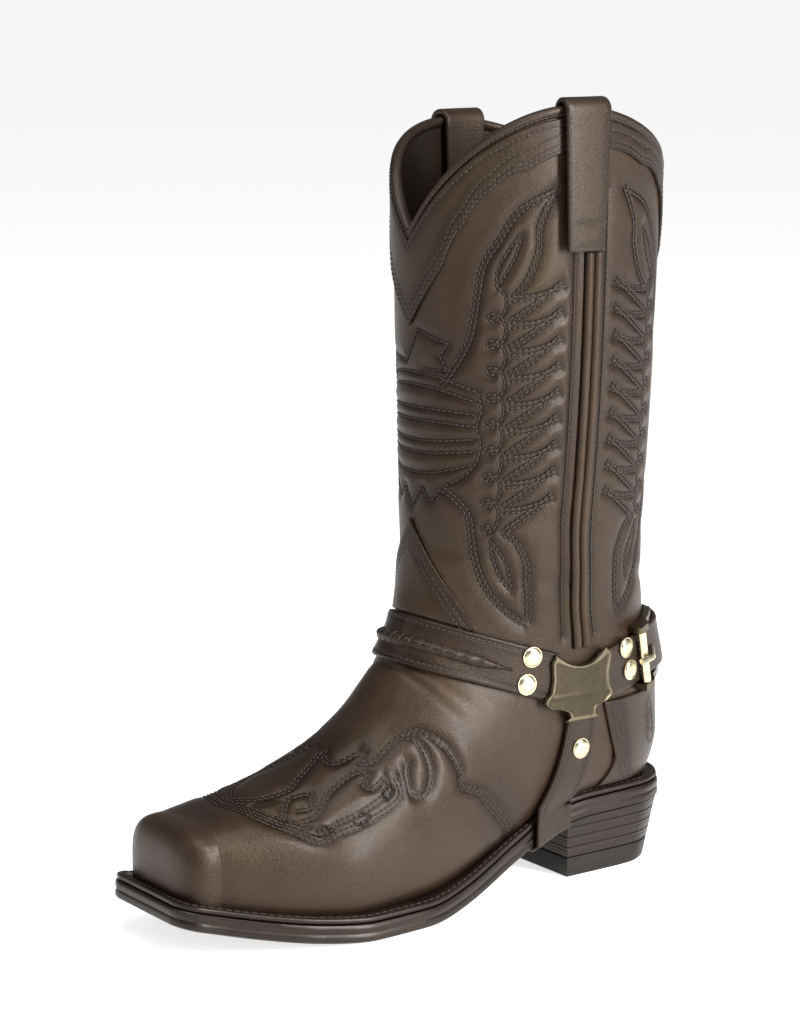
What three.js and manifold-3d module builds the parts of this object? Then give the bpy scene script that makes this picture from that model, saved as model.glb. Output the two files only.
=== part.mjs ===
// A square-toed biker boot for the left foot: a stitched western shaft, a leather sole on a stacked heel
// and a buckled ankle harness. Millimetres. +X runs to the toe, +Y to the outer side of the foot, +Z up.
// The floor is z = 0, and the origin is the middle of the heel's face on the floor.
import * as THREE from 'three';
import { mergeVertices } from 'three/addons/utils/BufferGeometryUtils.js';
import Module from 'manifold-3d';

const wasm = await Module();
wasm.setup();

// Driving sizes of the sole and heel
const soleLength = 303;
const ballWidth = 105;
const toeWidth = 66;
const waistWidth = 70;
const heelWidth = 66;
const toeCornerRadius = 10;
const soleThickness = 9;
const soleFlare = 1;
const weltThickness = 3.5;
const weltShow = 5;
const heelHeight = 40.5;
const heelLength = 75;
const heelTaper = 10;
const liftThickness = 10;
const toeSpring = 17;

// Driving sizes of the upper
const instepHeight = 134;
const shaftHeight = 384;
const shaftDepth = 147;
const shaftWidth = 101;
const toeBluntness = 17;
const peakTiltHeight = 5;
const frontDip = 54.5;
const backDip = 48;
const upperWall = 2.4;
const insoleThickness = 3;
const lastingMargin = 15;
const overlayThickness = 1.3;
const bindingReach = 3.6;
const bindingThickness = 1.1;
const tongueShare = 1.42;
const tongueWidth = 80;
const counterShare = 0.68;
const pipingWidth = 9;
const pipingHeight = 2.2;

// Driving sizes of the pull straps and the harness
const pullStrapWidth = 24;
const pullStrapDrop = 67;
const pullStrapRise = 5;
const pullStrapForward = 5;
const pullStrapNarrowing = 0.82;
const strapThickness = 2.6;
const frontStrapWidth = 26;
const rearStrapWidth = 26;
const underStrapTop = 18.5;
const underStrapFoot = 24;
const plateLength = 42;
const plateHeight = 35.5;
const plateThickness = 2.4;
const rivetRadius = 5.3;
const rivetHeight = 1.8;
const buckleLength = 25;
const buckleBar = 3.4;
const rollerRadius = 2.3;
const prongWidth = 3.2;

// The gap between pieces that touch
const clearance = 0.4;

// Where the heel's face on the floor has its middle, from the back of the sole
const heelFaceMiddle = heelTaper + (heelLength - heelTaper) / 2;

// The plan of the sole from heel to toe. at is a share of the sole's length; outer and inner are shares
// of half the width that the row names.
const plan = [
  { at: 0.0, outer: 0.0, inner: 0.0, of: heelWidth },
  { at: 0.01, outer: 0.46, inner: 0.46, of: heelWidth },
  { at: 0.04, outer: 0.82, inner: 0.82, of: heelWidth },
  { at: 0.085, outer: 0.975, inner: 0.96, of: heelWidth },
  { at: 0.14, outer: 1.0, inner: 0.97, of: heelWidth },
  { at: 0.25, outer: 1.0, inner: 0.91, of: heelWidth },
  { at: 0.37, outer: 1.1, inner: 0.88, of: waistWidth },
  { at: 0.49, outer: 0.9, inner: 0.72, of: ballWidth },
  { at: 0.6, outer: 1.03, inner: 0.88, of: ballWidth },
  { at: 0.69, outer: 1.05, inner: 0.955, of: ballWidth },
  { at: 0.79, outer: 0.95, inner: 0.945, of: ballWidth },
  { at: 0.88, outer: 0.785, inner: 0.85, of: ballWidth },
  { at: 0.96, outer: 1.0, inner: 1.13, of: toeWidth },
  { at: 1.0, outer: 0.93, inner: 1.06, of: toeWidth },
];

// The upper's sections from toe to ankle. Each runs from a point of its front line to one of its back or
// bottom line. frontX and backX are shares of the sole's length, frontZ and backZ of the instep's height;
// a row with no backZ stands on the sole. outer and inner are shares of half the ball's width, widest is
// where the section is widest from its front end, and topRound and lowRound are 1 for an ellipse, less for a box.
const footSections = [
  { frontX: 0.927, frontZ: 0.448, backX: 0.927, outer: 0.57, inner: 0.62, widest: 0.6, topRound: 0.6, lowRound: 0.34 },
  { frontX: 0.874, frontZ: 0.474, backX: 0.874, outer: 0.68, inner: 0.72, widest: 0.64, topRound: 0.75, lowRound: 0.35 },
  { frontX: 0.802, frontZ: 0.515, backX: 0.799, outer: 0.82, inner: 0.81, widest: 0.68, topRound: 0.9, lowRound: 0.36 },
  { frontX: 0.722, frontZ: 0.578, backX: 0.71, outer: 0.93, inner: 0.85, widest: 0.71, topRound: 0.98, lowRound: 0.38 },
  { frontX: 0.656, frontZ: 0.657, backX: 0.613, outer: 0.93, inner: 0.81, widest: 0.71, topRound: 1.0, lowRound: 0.42 },
  { frontX: 0.607, frontZ: 0.743, backX: 0.507, outer: 0.87, inner: 0.74, widest: 0.68, topRound: 1.0, lowRound: 0.46 },
  { frontX: 0.572, frontZ: 0.828, backX: 0.4, outer: 0.8, inner: 0.71, widest: 0.63, topRound: 0.98, lowRound: 0.5 },
  { frontX: 0.548, frontZ: 0.892, backX: 0.283, outer: 0.765, inner: 0.71, widest: 0.58, topRound: 0.97, lowRound: 0.56 },
  { frontX: 0.533, frontZ: 0.944, backX: 0.167, outer: 0.755, inner: 0.715, widest: 0.55, topRound: 0.96, lowRound: 0.62 },
  { frontX: 0.5215, frontZ: 0.991, backX: 0.06, outer: 0.75, inner: 0.72, widest: 0.53, topRound: 0.96, lowRound: 0.72 },
  { frontX: 0.512, frontZ: 1.042, backX: 0.0115, backZ: 0.41, outer: 0.75, inner: 0.725, widest: 0.515, topRound: 0.95, lowRound: 0.82 },
  { frontX: 0.505, frontZ: 1.1, backX: 0.0045, backZ: 0.56, outer: 0.755, inner: 0.735, widest: 0.505, topRound: 0.95, lowRound: 0.88 },
  { frontX: 0.499, frontZ: 1.172, backX: 0.0105, backZ: 0.725, outer: 0.76, inner: 0.75, widest: 0.5, topRound: 0.95, lowRound: 0.9 },
  { frontX: 0.496, frontZ: 1.254, backX: 0.028, backZ: 0.89, outer: 0.775, inner: 0.77, widest: 0.5, topRound: 0.95, lowRound: 0.92 },
  { frontX: 0.494, frontZ: 1.351, backX: 0.037, backZ: 1.06, outer: 0.8, inner: 0.8, widest: 0.5, topRound: 0.95, lowRound: 0.93 },
];

// The shaft's sections. frontZ and backZ are shares of the way from the instep to the collar's peaks, depth of
// the shaft's depth and side of half its width; back is the back line's place as a share of the depth.
const shaftSections = [
  { frontZ: 0.255, backZ: 0.145, back: 0.082, depth: 0.938, side: 0.865 },
  { frontZ: 0.355, backZ: 0.29, back: 0.0735, depth: 0.9485, side: 0.91 },
  { frontZ: 0.475, backZ: 0.445, back: 0.063, depth: 0.961, side: 0.945 },
  { frontZ: 0.62, backZ: 0.615, back: 0.0545, depth: 0.9725, side: 0.97 },
  { frontZ: 0.8, backZ: 0.8, back: 0.049, depth: 0.983, side: 0.985 },
  { frontZ: 1.08, backZ: 1.08, back: 0.048, depth: 0.988, side: 0.99 },
];
const shaftWidest = 0.49;
const shaftRoundFront = 0.95;
const shaftRoundBack = 0.93;
const levelRow = footSections.length + 3;

// The collar band's lower edge from the front point to the side seam: turn is the share of a quarter turn,
// drop the share of the shaft's height below the collar's peaks. The edge bulges up between the rows.
const bandCusps = [
  { turn: 0.0, drop: 0.26 },
  { turn: 0.25, drop: 0.186 },
  { turn: 0.365, drop: 0.14 },
  { turn: 0.508, drop: 0.099 },
  { turn: 0.694, drop: 0.074 },
  { turn: 1.0, drop: 0.05 },
];
const lobeRise = 2.6;

// How finely round surfaces are cut into faces
const aroundCount = 32;
const shaftRowCount = 6;
const toeRows = [0.28, 0.5, 0.7, 0.86];
const fineRows = 9;

const quarter = Math.PI / 2;
const mix = (a, b, share) => a + (b - a) * share;
const clamp01 = (value) => Math.min(1, Math.max(0, value));
const smooth = (share) => share * share * (3 - 2 * share);

// A value between four rows of a table, on a smooth curve through the middle two.
function curveThrough(before, from, to, after, share) {
  const startSlope = (to - before) / 2;
  const endSlope = (after - from) / 2;
  const square = share * share;
  const cube = square * share;
  return (
    (2 * cube - 3 * square + 1) * from +
    (cube - 2 * square + share) * startSlope +
    (3 * square - 2 * cube) * to +
    (cube - square) * endSlope
  );
}

// One column of a table at a row number with a fraction.
function columnAt(rows, column, place) {
  const last = rows.length - 1;
  const index = Math.min(Math.max(Math.floor(place), 0), last - 1);
  const pick = (i) => rows[Math.min(Math.max(i, 0), last)][column];
  return curveThrough(pick(index - 1), pick(index), pick(index + 1), pick(index + 2), place - index);
}

// A monotone curve through a table's rows, by the value of their at column.
function valueAt(rows, column, at) {
  const last = rows.length - 1;
  const x = Math.min(Math.max(at, rows[0].at), rows[last].at);
  let index = 0;
  while (index < last - 1 && x > rows[index + 1].at) index += 1;
  const gap = (i) => rows[i + 1].at - rows[i].at;
  const slope = (i) => (rows[i + 1][column] - rows[i][column]) / gap(i);
  const tangent = (i) => {
    if (i === 0) return slope(0);
    if (i === last) return slope(last - 1);
    const a = slope(i - 1);
    const b = slope(i);
    return a * b <= 0 ? 0 : (2 * a * b) / (a + b);
  };
  const share = (x - rows[index].at) / gap(index);
  const square = share * share;
  const cube = square * share;
  return (
    (2 * cube - 3 * square + 1) * rows[index][column] +
    (cube - 2 * square + share) * tangent(index) * gap(index) +
    (3 * square - 2 * cube) * rows[index + 1][column] +
    (cube - square) * tangent(index + 1) * gap(index)
  );
}

// The sole

const planRows = plan.map(({ at, outer, inner, of }) => ({ at, outer: (outer * of) / 2, inner: (inner * of) / 2 }));
const flatStart = 0.58 * soleLength;
const flatEnd = 0.685 * soleLength;

// The underside of the sole: flat under the ball, up at the toe and up over the waist to the heel.
function soleUnder(x) {
  if (x > flatEnd) return toeSpring * Math.pow((x - flatEnd) / (soleLength - flatEnd), 1.6);
  if (x >= flatStart) return 0;
  const seat = heelHeight - soleThickness;
  const waist = clamp01((flatStart - x) / (flatStart - 0.78 * heelLength));
  return seat * (0.12 * clamp01((flatStart - x) / flatStart) + 0.88 * smooth(waist));
}

const soleTop = (x) => soleUnder(x) + soleThickness;

// Half the sole's width on one side at x, with round corners at the toe.
function soleEdge(x, column) {
  const side = valueAt(planRows, column, x / soleLength);
  const intoCorner = Math.max(0, x - (soleLength - toeCornerRadius)) / toeCornerRadius;
  return side - toeCornerRadius * (1 - Math.sqrt(Math.max(0, 1 - intoCorner * intoCorner)));
}

// The places along a slab where it is cut, closer together at its round ends.
function stationsBetween(from, to, count, bothRound = true) {
  return Array.from({ length: count + 1 }, (_, i) => {
    const share = i / count;
    const eased = bothRound ? 0.5 - 0.5 * Math.cos(Math.PI * share) : Math.sin(quarter * share);
    return mix(from, to, mix(share, eased, 0.75));
  });
}

const point = (x, y, z) => new THREE.Vector3(x, y, z);

// A closed solid from a list of equal rings of points, with a flat or pointed end at each side.
function solidFromRings(rings) {
  const positions = [];
  const faces = [];
  const count = rings[0].length;
  rings.forEach((ring) => ring.forEach((p) => positions.push(p.x, p.y, p.z)));
  for (let r = 0; r + 1 < rings.length; r += 1) {
    for (let i = 0; i < count; i += 1) {
      const a = r * count + i;
      const b = r * count + ((i + 1) % count);
      faces.push(a, b, b + count, a, b + count, a + count);
    }
  }
  const capAt = (ring, start, turned) => {
    const middle = ring.reduce((sum, p) => sum.add(p), point(0, 0, 0)).divideScalar(count);
    const index = positions.length / 3;
    positions.push(middle.x, middle.y, middle.z);
    for (let i = 0; i < count; i += 1) {
      const a = start + i;
      const b = start + ((i + 1) % count);
      faces.push(...(turned ? [index, b, a] : [index, a, b]));
    }
  };
  capAt(rings[0], 0, true);
  capAt(rings[rings.length - 1], (rings.length - 1) * count, false);
  return closedSolid(positions, faces);
}

// A solid for joins and cuts from positions and faces, turned to face outwards.
function closedSolid(positions, faces) {
  const geometry = new THREE.BufferGeometry();
  geometry.setAttribute('position', new THREE.Float32BufferAttribute(positions, 3));
  geometry.setIndex(faces);
  const merged = mergeVertices(geometry, 1e-3);
  const triVerts = new Uint32Array(merged.index.array);
  const vertProperties = merged.attributes.position.array;
  let volume = 0;
  const a = point(0, 0, 0);
  const b = point(0, 0, 0);
  const c = point(0, 0, 0);
  for (let i = 0; i < triVerts.length; i += 3) {
    a.fromArray(vertProperties, triVerts[i] * 3);
    b.fromArray(vertProperties, triVerts[i + 1] * 3);
    c.fromArray(vertProperties, triVerts[i + 2] * 3);
    volume += a.dot(b.cross(c));
  }
  if (volume < 0) {
    for (let i = 0; i < triVerts.length; i += 3) {
      [triVerts[i + 1], triVerts[i + 2]] = [triVerts[i + 2], triVerts[i + 1]];
    }
  }
  return new wasm.Manifold(new wasm.Mesh({ numProp: 3, vertProperties, triVerts }));
}

// A plate between two heights over a plan: stations along x, half widths and heights as functions of x.
function slab({ stations, outer, inner, top, bottom, shiftTop = (x) => x, shiftBottom = (x) => x }) {
  const rings = stations.map((x) => {
    const high = shiftTop(x);
    const low = shiftBottom(x);
    return [
      point(high, outer(x, 1), top(high)),
      point(high, -inner(x, 1), top(high)),
      point(low, -inner(x, 0), bottom(low)),
      point(low, outer(x, 0), bottom(low)),
    ];
  });
  return solidFromRings(rings);
}

// The upper's surface

// A section's ends, sides and roundness in millimetres.
function footSection({ frontX, frontZ, backX, backZ, outer, inner, widest, topRound, lowRound }) {
  const standsOn = soleTop(backX * soleLength) - upperWall;
  return {
    frontX: frontX * soleLength,
    frontZ: frontZ * instepHeight,
    backX: backX * soleLength,
    backZ: backZ === undefined ? standsOn : backZ * instepHeight,
    outer: (outer * ballWidth) / 2,
    inner: (inner * ballWidth) / 2,
    widest,
    topRound,
    lowRound,
  };
}

function shaftSection({ frontZ, backZ, back, depth, side }) {
  const backX = back * shaftDepth;
  return {
    frontX: backX + depth * shaftDepth,
    frontZ: mix(instepHeight, shaftHeight, frontZ),
    backX,
    backZ: mix(instepHeight, shaftHeight, backZ),
    outer: (side * shaftWidth) / 2,
    inner: (side * shaftWidth) / 2,
    widest: shaftWidest,
    topRound: shaftRoundFront,
    lowRound: shaftRoundBack,
  };
}

const sections = [...footSections.map(footSection), ...shaftSections.map(shaftSection)];
const lastRow = sections.length;
const sectionColumns = Object.keys(sections[0]);

// The section at a row number; rows from 0 to 1 are the blunt toe, which closes on a point.
function sectionAt(row) {
  const place = Math.max(row - 1, 0);
  const found = Object.fromEntries(sectionColumns.map((name) => [name, columnAt(sections, name, place)]));
  if (row >= 1) return found;
  const power = 2 / 3.6;
  const grown = Math.pow(Math.sin(quarter * row), power);
  const ahead = toeBluntness * Math.pow(Math.cos(quarter * row), power);
  const middle = mix(found.backZ, found.frontZ, 0.42);
  found.frontX += ahead;
  found.backX += ahead;
  found.frontZ = mix(middle, found.frontZ, grown);
  found.backZ = mix(middle, found.backZ, grown);
  found.outer *= grown;
  found.inner *= grown;
  return found;
}

// A point of the upper's outer surface. turn is 0 on the front line, a quarter turn on the outer seam and a
// half turn on the back line, and negative on the inner side.
function surfacePoint(row, turn) {
  const section = sectionAt(row);
  const wrapped = Math.atan2(Math.sin(turn), Math.cos(turn));
  const bend = Math.abs(wrapped);
  const front = bend <= quarter;
  const round = front ? section.topRound : section.lowRound;
  const along = Math.pow(Math.abs(Math.cos(bend)), round);
  const across = Math.pow(Math.max(Math.sin(bend), 0), round);
  const share = front ? section.widest * (1 - along) : section.widest + (1 - section.widest) * along;
  const side = wrapped >= 0 ? section.outer : -section.inner;
  return point(
    mix(section.frontX, section.backX, share),
    side * across,
    mix(section.frontZ, section.backZ, share),
  );
}

// The way out of the surface at a point.
function surfaceNormal(row, turn) {
  const step = 0.02;
  const upRow = Math.min(Math.max(row, 0.12) + step, lastRow);
  const downRow = Math.max(row, 0.12) - step;
  const acrossRow = Math.max(row, 0.12);
  const up = surfacePoint(upRow, turn).sub(surfacePoint(downRow, turn));
  const around = surfacePoint(acrossRow, turn + step).sub(surfacePoint(acrossRow, turn - step));
  return around.cross(up).normalize();
}

// A point off the surface, out by offset, and never below the sole's top.
function offSurface(row, turn, offset, aboveSole = 0) {
  const placed = surfacePoint(row, turn).addScaledVector(surfaceNormal(row, turn), offset);
  placed.z = Math.max(placed.z, soleTop(placed.x) + clearance + aboveSole);
  return placed;
}

// The row where the surface meets a height on one turn.
function rowWhere(turn, passed, from = 4, to = lastRow) {
  let low = from;
  let high = to;
  for (let i = 0; i < 30; i += 1) {
    const middle = (low + high) / 2;
    if (passed(surfacePoint(middle, turn))) high = middle;
    else low = middle;
  }
  return (low + high) / 2;
}

const rowAtHeight = (turn, z) => rowWhere(turn, (p) => p.z > z);

// A tilted level: the height at a place along the boot, and its slope to the toe.
const rowOnLevel = (turn, level) => rowWhere(turn, (p) => p.z > level.z + level.slope * (p.x - level.x));

// The row and turn of a side's surface at a place and height. side is 1 outside and -1 inside.
function whereOnSide(side, x, z) {
  let low = 0.15 * Math.PI;
  let high = 0.9 * Math.PI;
  for (let i = 0; i < 26; i += 1) {
    const middle = (low + high) / 2;
    const row = rowAtHeight(side * middle, z);
    if (surfacePoint(row, side * middle).x < x) high = middle;
    else low = middle;
  }
  const turn = (side * (low + high)) / 2;
  return { row: rowAtHeight(turn, z), turn };
}

// The collar: how far it falls from its peaks to the front and to the back, and how sharply.
const peakTurn = 0.92 * quarter;
const collarFall = { front: { dip: frontDip, power: 1.9 }, back: { dip: backDip, power: 1.5 } };
const peakHeight = (turn) => shaftHeight + peakTiltHeight * Math.sin(turn);

function collarHeight(turn) {
  const bend = Math.acos(Math.cos(turn));
  const front = bend <= peakTurn;
  const { dip, power } = front ? collarFall.front : collarFall.back;
  const share = front ? bend / peakTurn : (Math.PI - bend) / (Math.PI - peakTurn);
  return peakHeight(turn) - dip * Math.pow(1 - clamp01(share), power);
}

// The lower edge of the collar band, which bulges up between the cusps of its table.
function bandEdge(turn) {
  const bend = Math.acos(Math.cos(turn));
  const share = clamp01((bend <= quarter ? bend : Math.PI - bend) / quarter);
  let index = 0;
  while (index < bandCusps.length - 2 && share > bandCusps[index + 1].turn) index += 1;
  const from = bandCusps[index];
  const to = bandCusps[index + 1];
  const between = (share - from.turn) / (to.turn - from.turn);
  const bulge = index === 0 ? 0 : lobeRise * Math.sin(Math.PI * between);
  return peakHeight(turn) - mix(from.drop, to.drop, between) * shaftHeight + bulge;
}

// Shells, patches and ribbons

// A closed solid between an outer and an inner grid of points; round joins the last row to the first.
function solidFromGrids(outerGrid, innerGrid, round = false) {
  const rows = outerGrid.length;
  const columns = outerGrid[0].length;
  const positions = [];
  const faces = [];
  [outerGrid, innerGrid].forEach((grid) => grid.forEach((line) => line.forEach((p) => positions.push(p.x, p.y, p.z))));
  const at = (layer, i, j) => (layer * rows + (i % rows)) * columns + j;
  const quad = (a, b, c, d) => faces.push(a, b, c, a, c, d);
  const steps = round ? rows : rows - 1;
  for (let i = 0; i < steps; i += 1) {
    for (let j = 0; j + 1 < columns; j += 1) {
      quad(at(0, i, j), at(0, i + 1, j), at(0, i + 1, j + 1), at(0, i, j + 1));
      quad(at(1, i, j), at(1, i, j + 1), at(1, i + 1, j + 1), at(1, i + 1, j));
    }
    quad(at(0, i, 0), at(1, i, 0), at(1, i + 1, 0), at(0, i + 1, 0));
    const j = columns - 1;
    quad(at(0, i, j), at(0, i + 1, j), at(1, i + 1, j), at(1, i, j));
  }
  if (!round) {
    for (let j = 0; j + 1 < columns; j += 1) {
      quad(at(0, 0, j), at(0, 0, j + 1), at(1, 0, j + 1), at(1, 0, j));
      const i = rows - 1;
      quad(at(0, i, j), at(1, i, j), at(1, i, j + 1), at(0, i, j + 1));
    }
  }
  return closedSolid(positions, faces);
}

// A piece of leather or metal that lies on the upper: place gives the row and turn of each share along and
// across it, low and high its faces' offsets from the surface.
function patch({ along, across, place, low, high, round = false }) {
  const grid = (offset) =>
    Array.from({ length: round ? along : along + 1 }, (_, i) =>
      Array.from({ length: across + 1 }, (__, j) => {
        const s = i / along;
        const v = j / across;
        const { row, turn } = place(s, v);
        return offSurface(row, turn, typeof offset === 'function' ? offset(s, v) : offset);
      }),
    );
  return solidFromGrids(grid(high), grid(low), round);
}

// The pieces of the sole

const soleStations = stationsBetween(0.3, soleLength, 32);
const outerEdge = (x) => soleEdge(x, 'outer');
const innerEdge = (x) => soleEdge(x, 'inner');

// The outsole's side flares a little and is bevelled at the floor.
function outsole() {
  const lines = [
    { up: 1, out: 0 },
    { up: 0.16, out: soleFlare },
    { up: 0, out: -soleFlare / 2 },
  ];
  const rings = stationsBetween(soleFlare, soleLength - soleFlare, 32).map((x) => {
    const line = (side, edge) => ({ up, out }) => {
      const reach = Math.max(edge(x) + out, soleFlare / 4);
      return point(x + out * (2 * (x / soleLength) - 1), side * reach, soleUnder(x) + up * soleThickness);
    };
    return [...lines.map(line(-1, innerEdge)), ...lines.map(line(1, outerEdge)).reverse()];
  });
  return solidFromRings(rings);
}

// A heel layer between two heights, drawn in towards the floor at its back.
function heelLayer(topOf, bottomOf) {
  const span = heelHeight - soleThickness;
  const stations = stationsBetween(0.3, heelLength, 22, false);
  const drawn = (z) => (x) => mix(heelTaper * (1 - z / span), heelLength, x / heelLength);
  const middle = heelLength / 2;
  return slab({
    stations,
    outer: outerEdge,
    inner: innerEdge,
    top: topOf,
    bottom: bottomOf,
    shiftTop: drawn(topOf(middle)),
    shiftBottom: drawn(bottomOf(middle)),
  });
}

const heelStack = () =>
  heelLayer(
    (x) => soleUnder(x) - clearance,
    () => liftThickness + clearance,
  );
const heelLift = () =>
  heelLayer(
    () => liftThickness,
    () => 0,
  );

// The rows of the upper from the toe to the top of the ankle: two to a section over the foot, then one.
const upperRows = [...toeRows];
for (let row = 1; row < levelRow; row += row < fineRows ? 0.5 : 1) upperRows.push(row);

// One of the faces around the upper; the seams and the front and back lines each have one.
const ringTurn = (i) => (2 * Math.PI * i) / aroundCount;
const ringOf = (rowOf, offset, aboveSole) =>
  Array.from({ length: aroundCount }, (_, i) => offSurface(rowOf(ringTurn(i)), ringTurn(i), offset, aboveSole));

// A closed form of the upper's lower part, out from its surface by offset, to cut or trim what meets it.
function lowerForm(offset, aboveSole) {
  const rows = upperRows.filter((row) => row <= footSections.length);
  return solidFromRings(rows.map((row) => ringOf(() => row, offset, aboveSole)));
}

function welt() {
  const plate = slab({
    stations: soleStations,
    outer: outerEdge,
    inner: innerEdge,
    top: (x) => soleTop(x) + weltThickness,
    bottom: (x) => soleTop(x) + clearance,
  });
  return plate.subtract(lowerForm(clearance, -weltThickness));
}

function insole() {
  const plate = slab({
    stations: stationsBetween(weltShow, soleLength - weltShow, 20),
    outer: outerEdge,
    inner: innerEdge,
    top: (x) => soleTop(x) + upperWall + 2 * clearance + insoleThickness,
    bottom: soleTop,
  });
  const inside = upperWall + 1.5 * clearance;
  return plate.intersect(lowerForm(-inside, inside));
}

// The upper: an outer skin from the toe to the collar, a rim, and an inner skin back to the toe, open
// underneath where the insole closes it.
function upper() {
  const shaftRow = (share) => (turn) => {
    const from = surfacePoint(levelRow, turn).z;
    return rowAtHeight(turn, mix(from, collarHeight(turn), share));
  };
  const skin = (offset, aboveSole) => [
    ...upperRows.map((row) => ringOf(() => row, offset, aboveSole)),
    ...Array.from({ length: shaftRowCount + 1 }, (_, i) => ringOf(shaftRow(i / shaftRowCount), offset, aboveSole)),
  ];
  const hollow = solidFromRings([...skin(0, 0), ...skin(-upperWall, upperWall).reverse()]);
  const margin = weltShow + lastingMargin;
  const opening = slab({
    stations: stationsBetween(margin, soleLength - margin, 24),
    outer: (x) => Math.max(outerEdge(x) - margin, 1),
    inner: (x) => Math.max(innerEdge(x) - margin, 1),
    top: (x) => soleTop(x) + 2 * upperWall + clearance,
    bottom: (x) => soleTop(x) - clearance,
  });
  return hollow.subtract(opening);
}

// Where the harness lies: the middle of its plates, and the tilted levels of its two straps
const plateX = 0.252 * soleLength;
const plateZ = 0.769 * instepHeight;
const strapEndUnderPlate = 0.6;
const frontReach = plateX + (strapEndUnderPlate * plateLength) / 2;
const rearReach = plateX - (strapEndUnderPlate * plateLength) / 2;
const frontLevel = { x: plateX, z: plateZ + 0.005 * instepHeight, slope: 0.33 };
const rearLevel = { x: plateX, z: plateZ - 0.005 * instepHeight, slope: -0.18 };

// The pieces on the upper

const collarBand = () =>
  patch({
    along: 2 * aroundCount,
    across: 2,
    round: true,
    place: (s, v) => {
      const turn = 2 * Math.PI * s;
      return { turn, row: rowAtHeight(turn, mix(bandEdge(turn), collarHeight(turn) - bindingReach - 2 * clearance, v)) };
    },
    low: clearance,
    high: clearance + overlayThickness,
  });

// The tape folded over the collar, as a ring of folded sections. drop is how far a line of the fold lies below
// the top, out how far across the wall it is, and crown how much of the tape's thickness it stands out.
const bindingFold = [
  { drop: 1, out: 0, crown: 1 },
  { drop: 0, out: 0, crown: 0.55 },
  { drop: 0, out: 0.5, crown: 1 },
  { drop: 0, out: 1, crown: 0.55 },
  { drop: 1, out: 1, crown: 1 },
];

function collarBinding() {
  const grid = (thickness) =>
    Array.from({ length: aroundCount }, (_, i) => {
      const turn = ringTurn(i);
      const rim = rowAtHeight(turn, collarHeight(turn));
      return bindingFold.map(({ drop, out, crown }) => {
        const grow = clearance + thickness * crown;
        const row = drop > 0 ? rowAtHeight(turn, collarHeight(turn) - drop * bindingReach) : rim;
        const placed = offSurface(row, turn, mix(grow, -upperWall - grow, out));
        if (drop === 0) placed.z += grow * 1.3;
        return placed;
      });
    });
  return solidFromGrids(grid(bindingThickness), grid(0), true);
}

// The side seams: their place round the shaft, the turn of one millimetre there and the collar's height
const seamTurn = quarter + 0.03;
const turnsPerLength = 2 / shaftDepth;
const sidePeak = (side) => collarHeight(side * quarter);

// A raised strip down a side seam, from under the pull strap to the harness.
function sidePiping(side) {
  const turnOf = (v) => side * (seamTurn + (v - 0.5) * pipingWidth * turnsPerLength);
  const top = sidePeak(side) - pullStrapDrop - 2 * clearance;
  const bottom = plateZ + plateHeight / 2 + 2 * clearance;
  return patch({
    along: 10,
    across: 4,
    place: (s, v) => ({ turn: turnOf(v), row: rowAtHeight(turnOf(v), mix(bottom, top, s)) }),
    low: clearance,
    high: (s, v) => clearance + 0.6 + pipingHeight * Math.sin(Math.PI * v),
  });
}

// The pointed tongue of the vamp on the front of the shaft, from the front strap up.
function tongue() {
  const foot = { ...frontLevel, z: frontLevel.z + frontStrapWidth / 2 + 2 * clearance };
  const tip = instepHeight * tongueShare;
  const halfTurn = tongueWidth / shaftWidth;
  return patch({
    along: 14,
    across: 5,
    place: (s, v) => {
      const turn = (2 * s - 1) * halfTurn;
      const from = surfacePoint(rowOnLevel(turn, foot), turn).z;
      const to = mix(tip, from + overlayThickness, Math.pow(Math.abs(2 * s - 1), 0.85));
      return { turn, row: rowAtHeight(turn, mix(from, to, v)) };
    },
    low: clearance,
    high: clearance + overlayThickness,
  });
}

// The counter round the heel. The places of its front edges are shares of the sole's length, from its foot up.
const counterEdge = [
  { at: 0, outer: 0.185, inner: 0.185 },
  { at: 0.3, outer: 0.158, inner: 0.158 },
  { at: 0.55, outer: 0.172, inner: 0.172 },
  { at: 1, outer: 0.192, inner: 0.192 },
];

function counter() {
  const top = instepHeight * counterShare;
  const footOf = (x) => soleTop(x) + weltThickness + 2 * overlayThickness;
  return patch({
    along: 26,
    across: 5,
    place: (s, v) => {
      const side = s < 0.5 ? -1 : 1;
      const reach = Math.abs(2 * s - 1);
      const rise = Math.pow(v, 1.6);
      const edgeX = valueAt(counterEdge, side > 0 ? 'outer' : 'inner', rise) * soleLength;
      const edgeTurn = whereOnSide(side, edgeX, mix(footOf(edgeX), top, rise)).turn;
      const turn = side * mix(Math.PI, Math.abs(edgeTurn), reach);
      return { turn, row: rowAtHeight(turn, mix(footOf(edgeX * reach), top, rise)) };
    },
    low: 1.6 * clearance,
    high: clearance + overlayThickness,
  });
}

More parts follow.
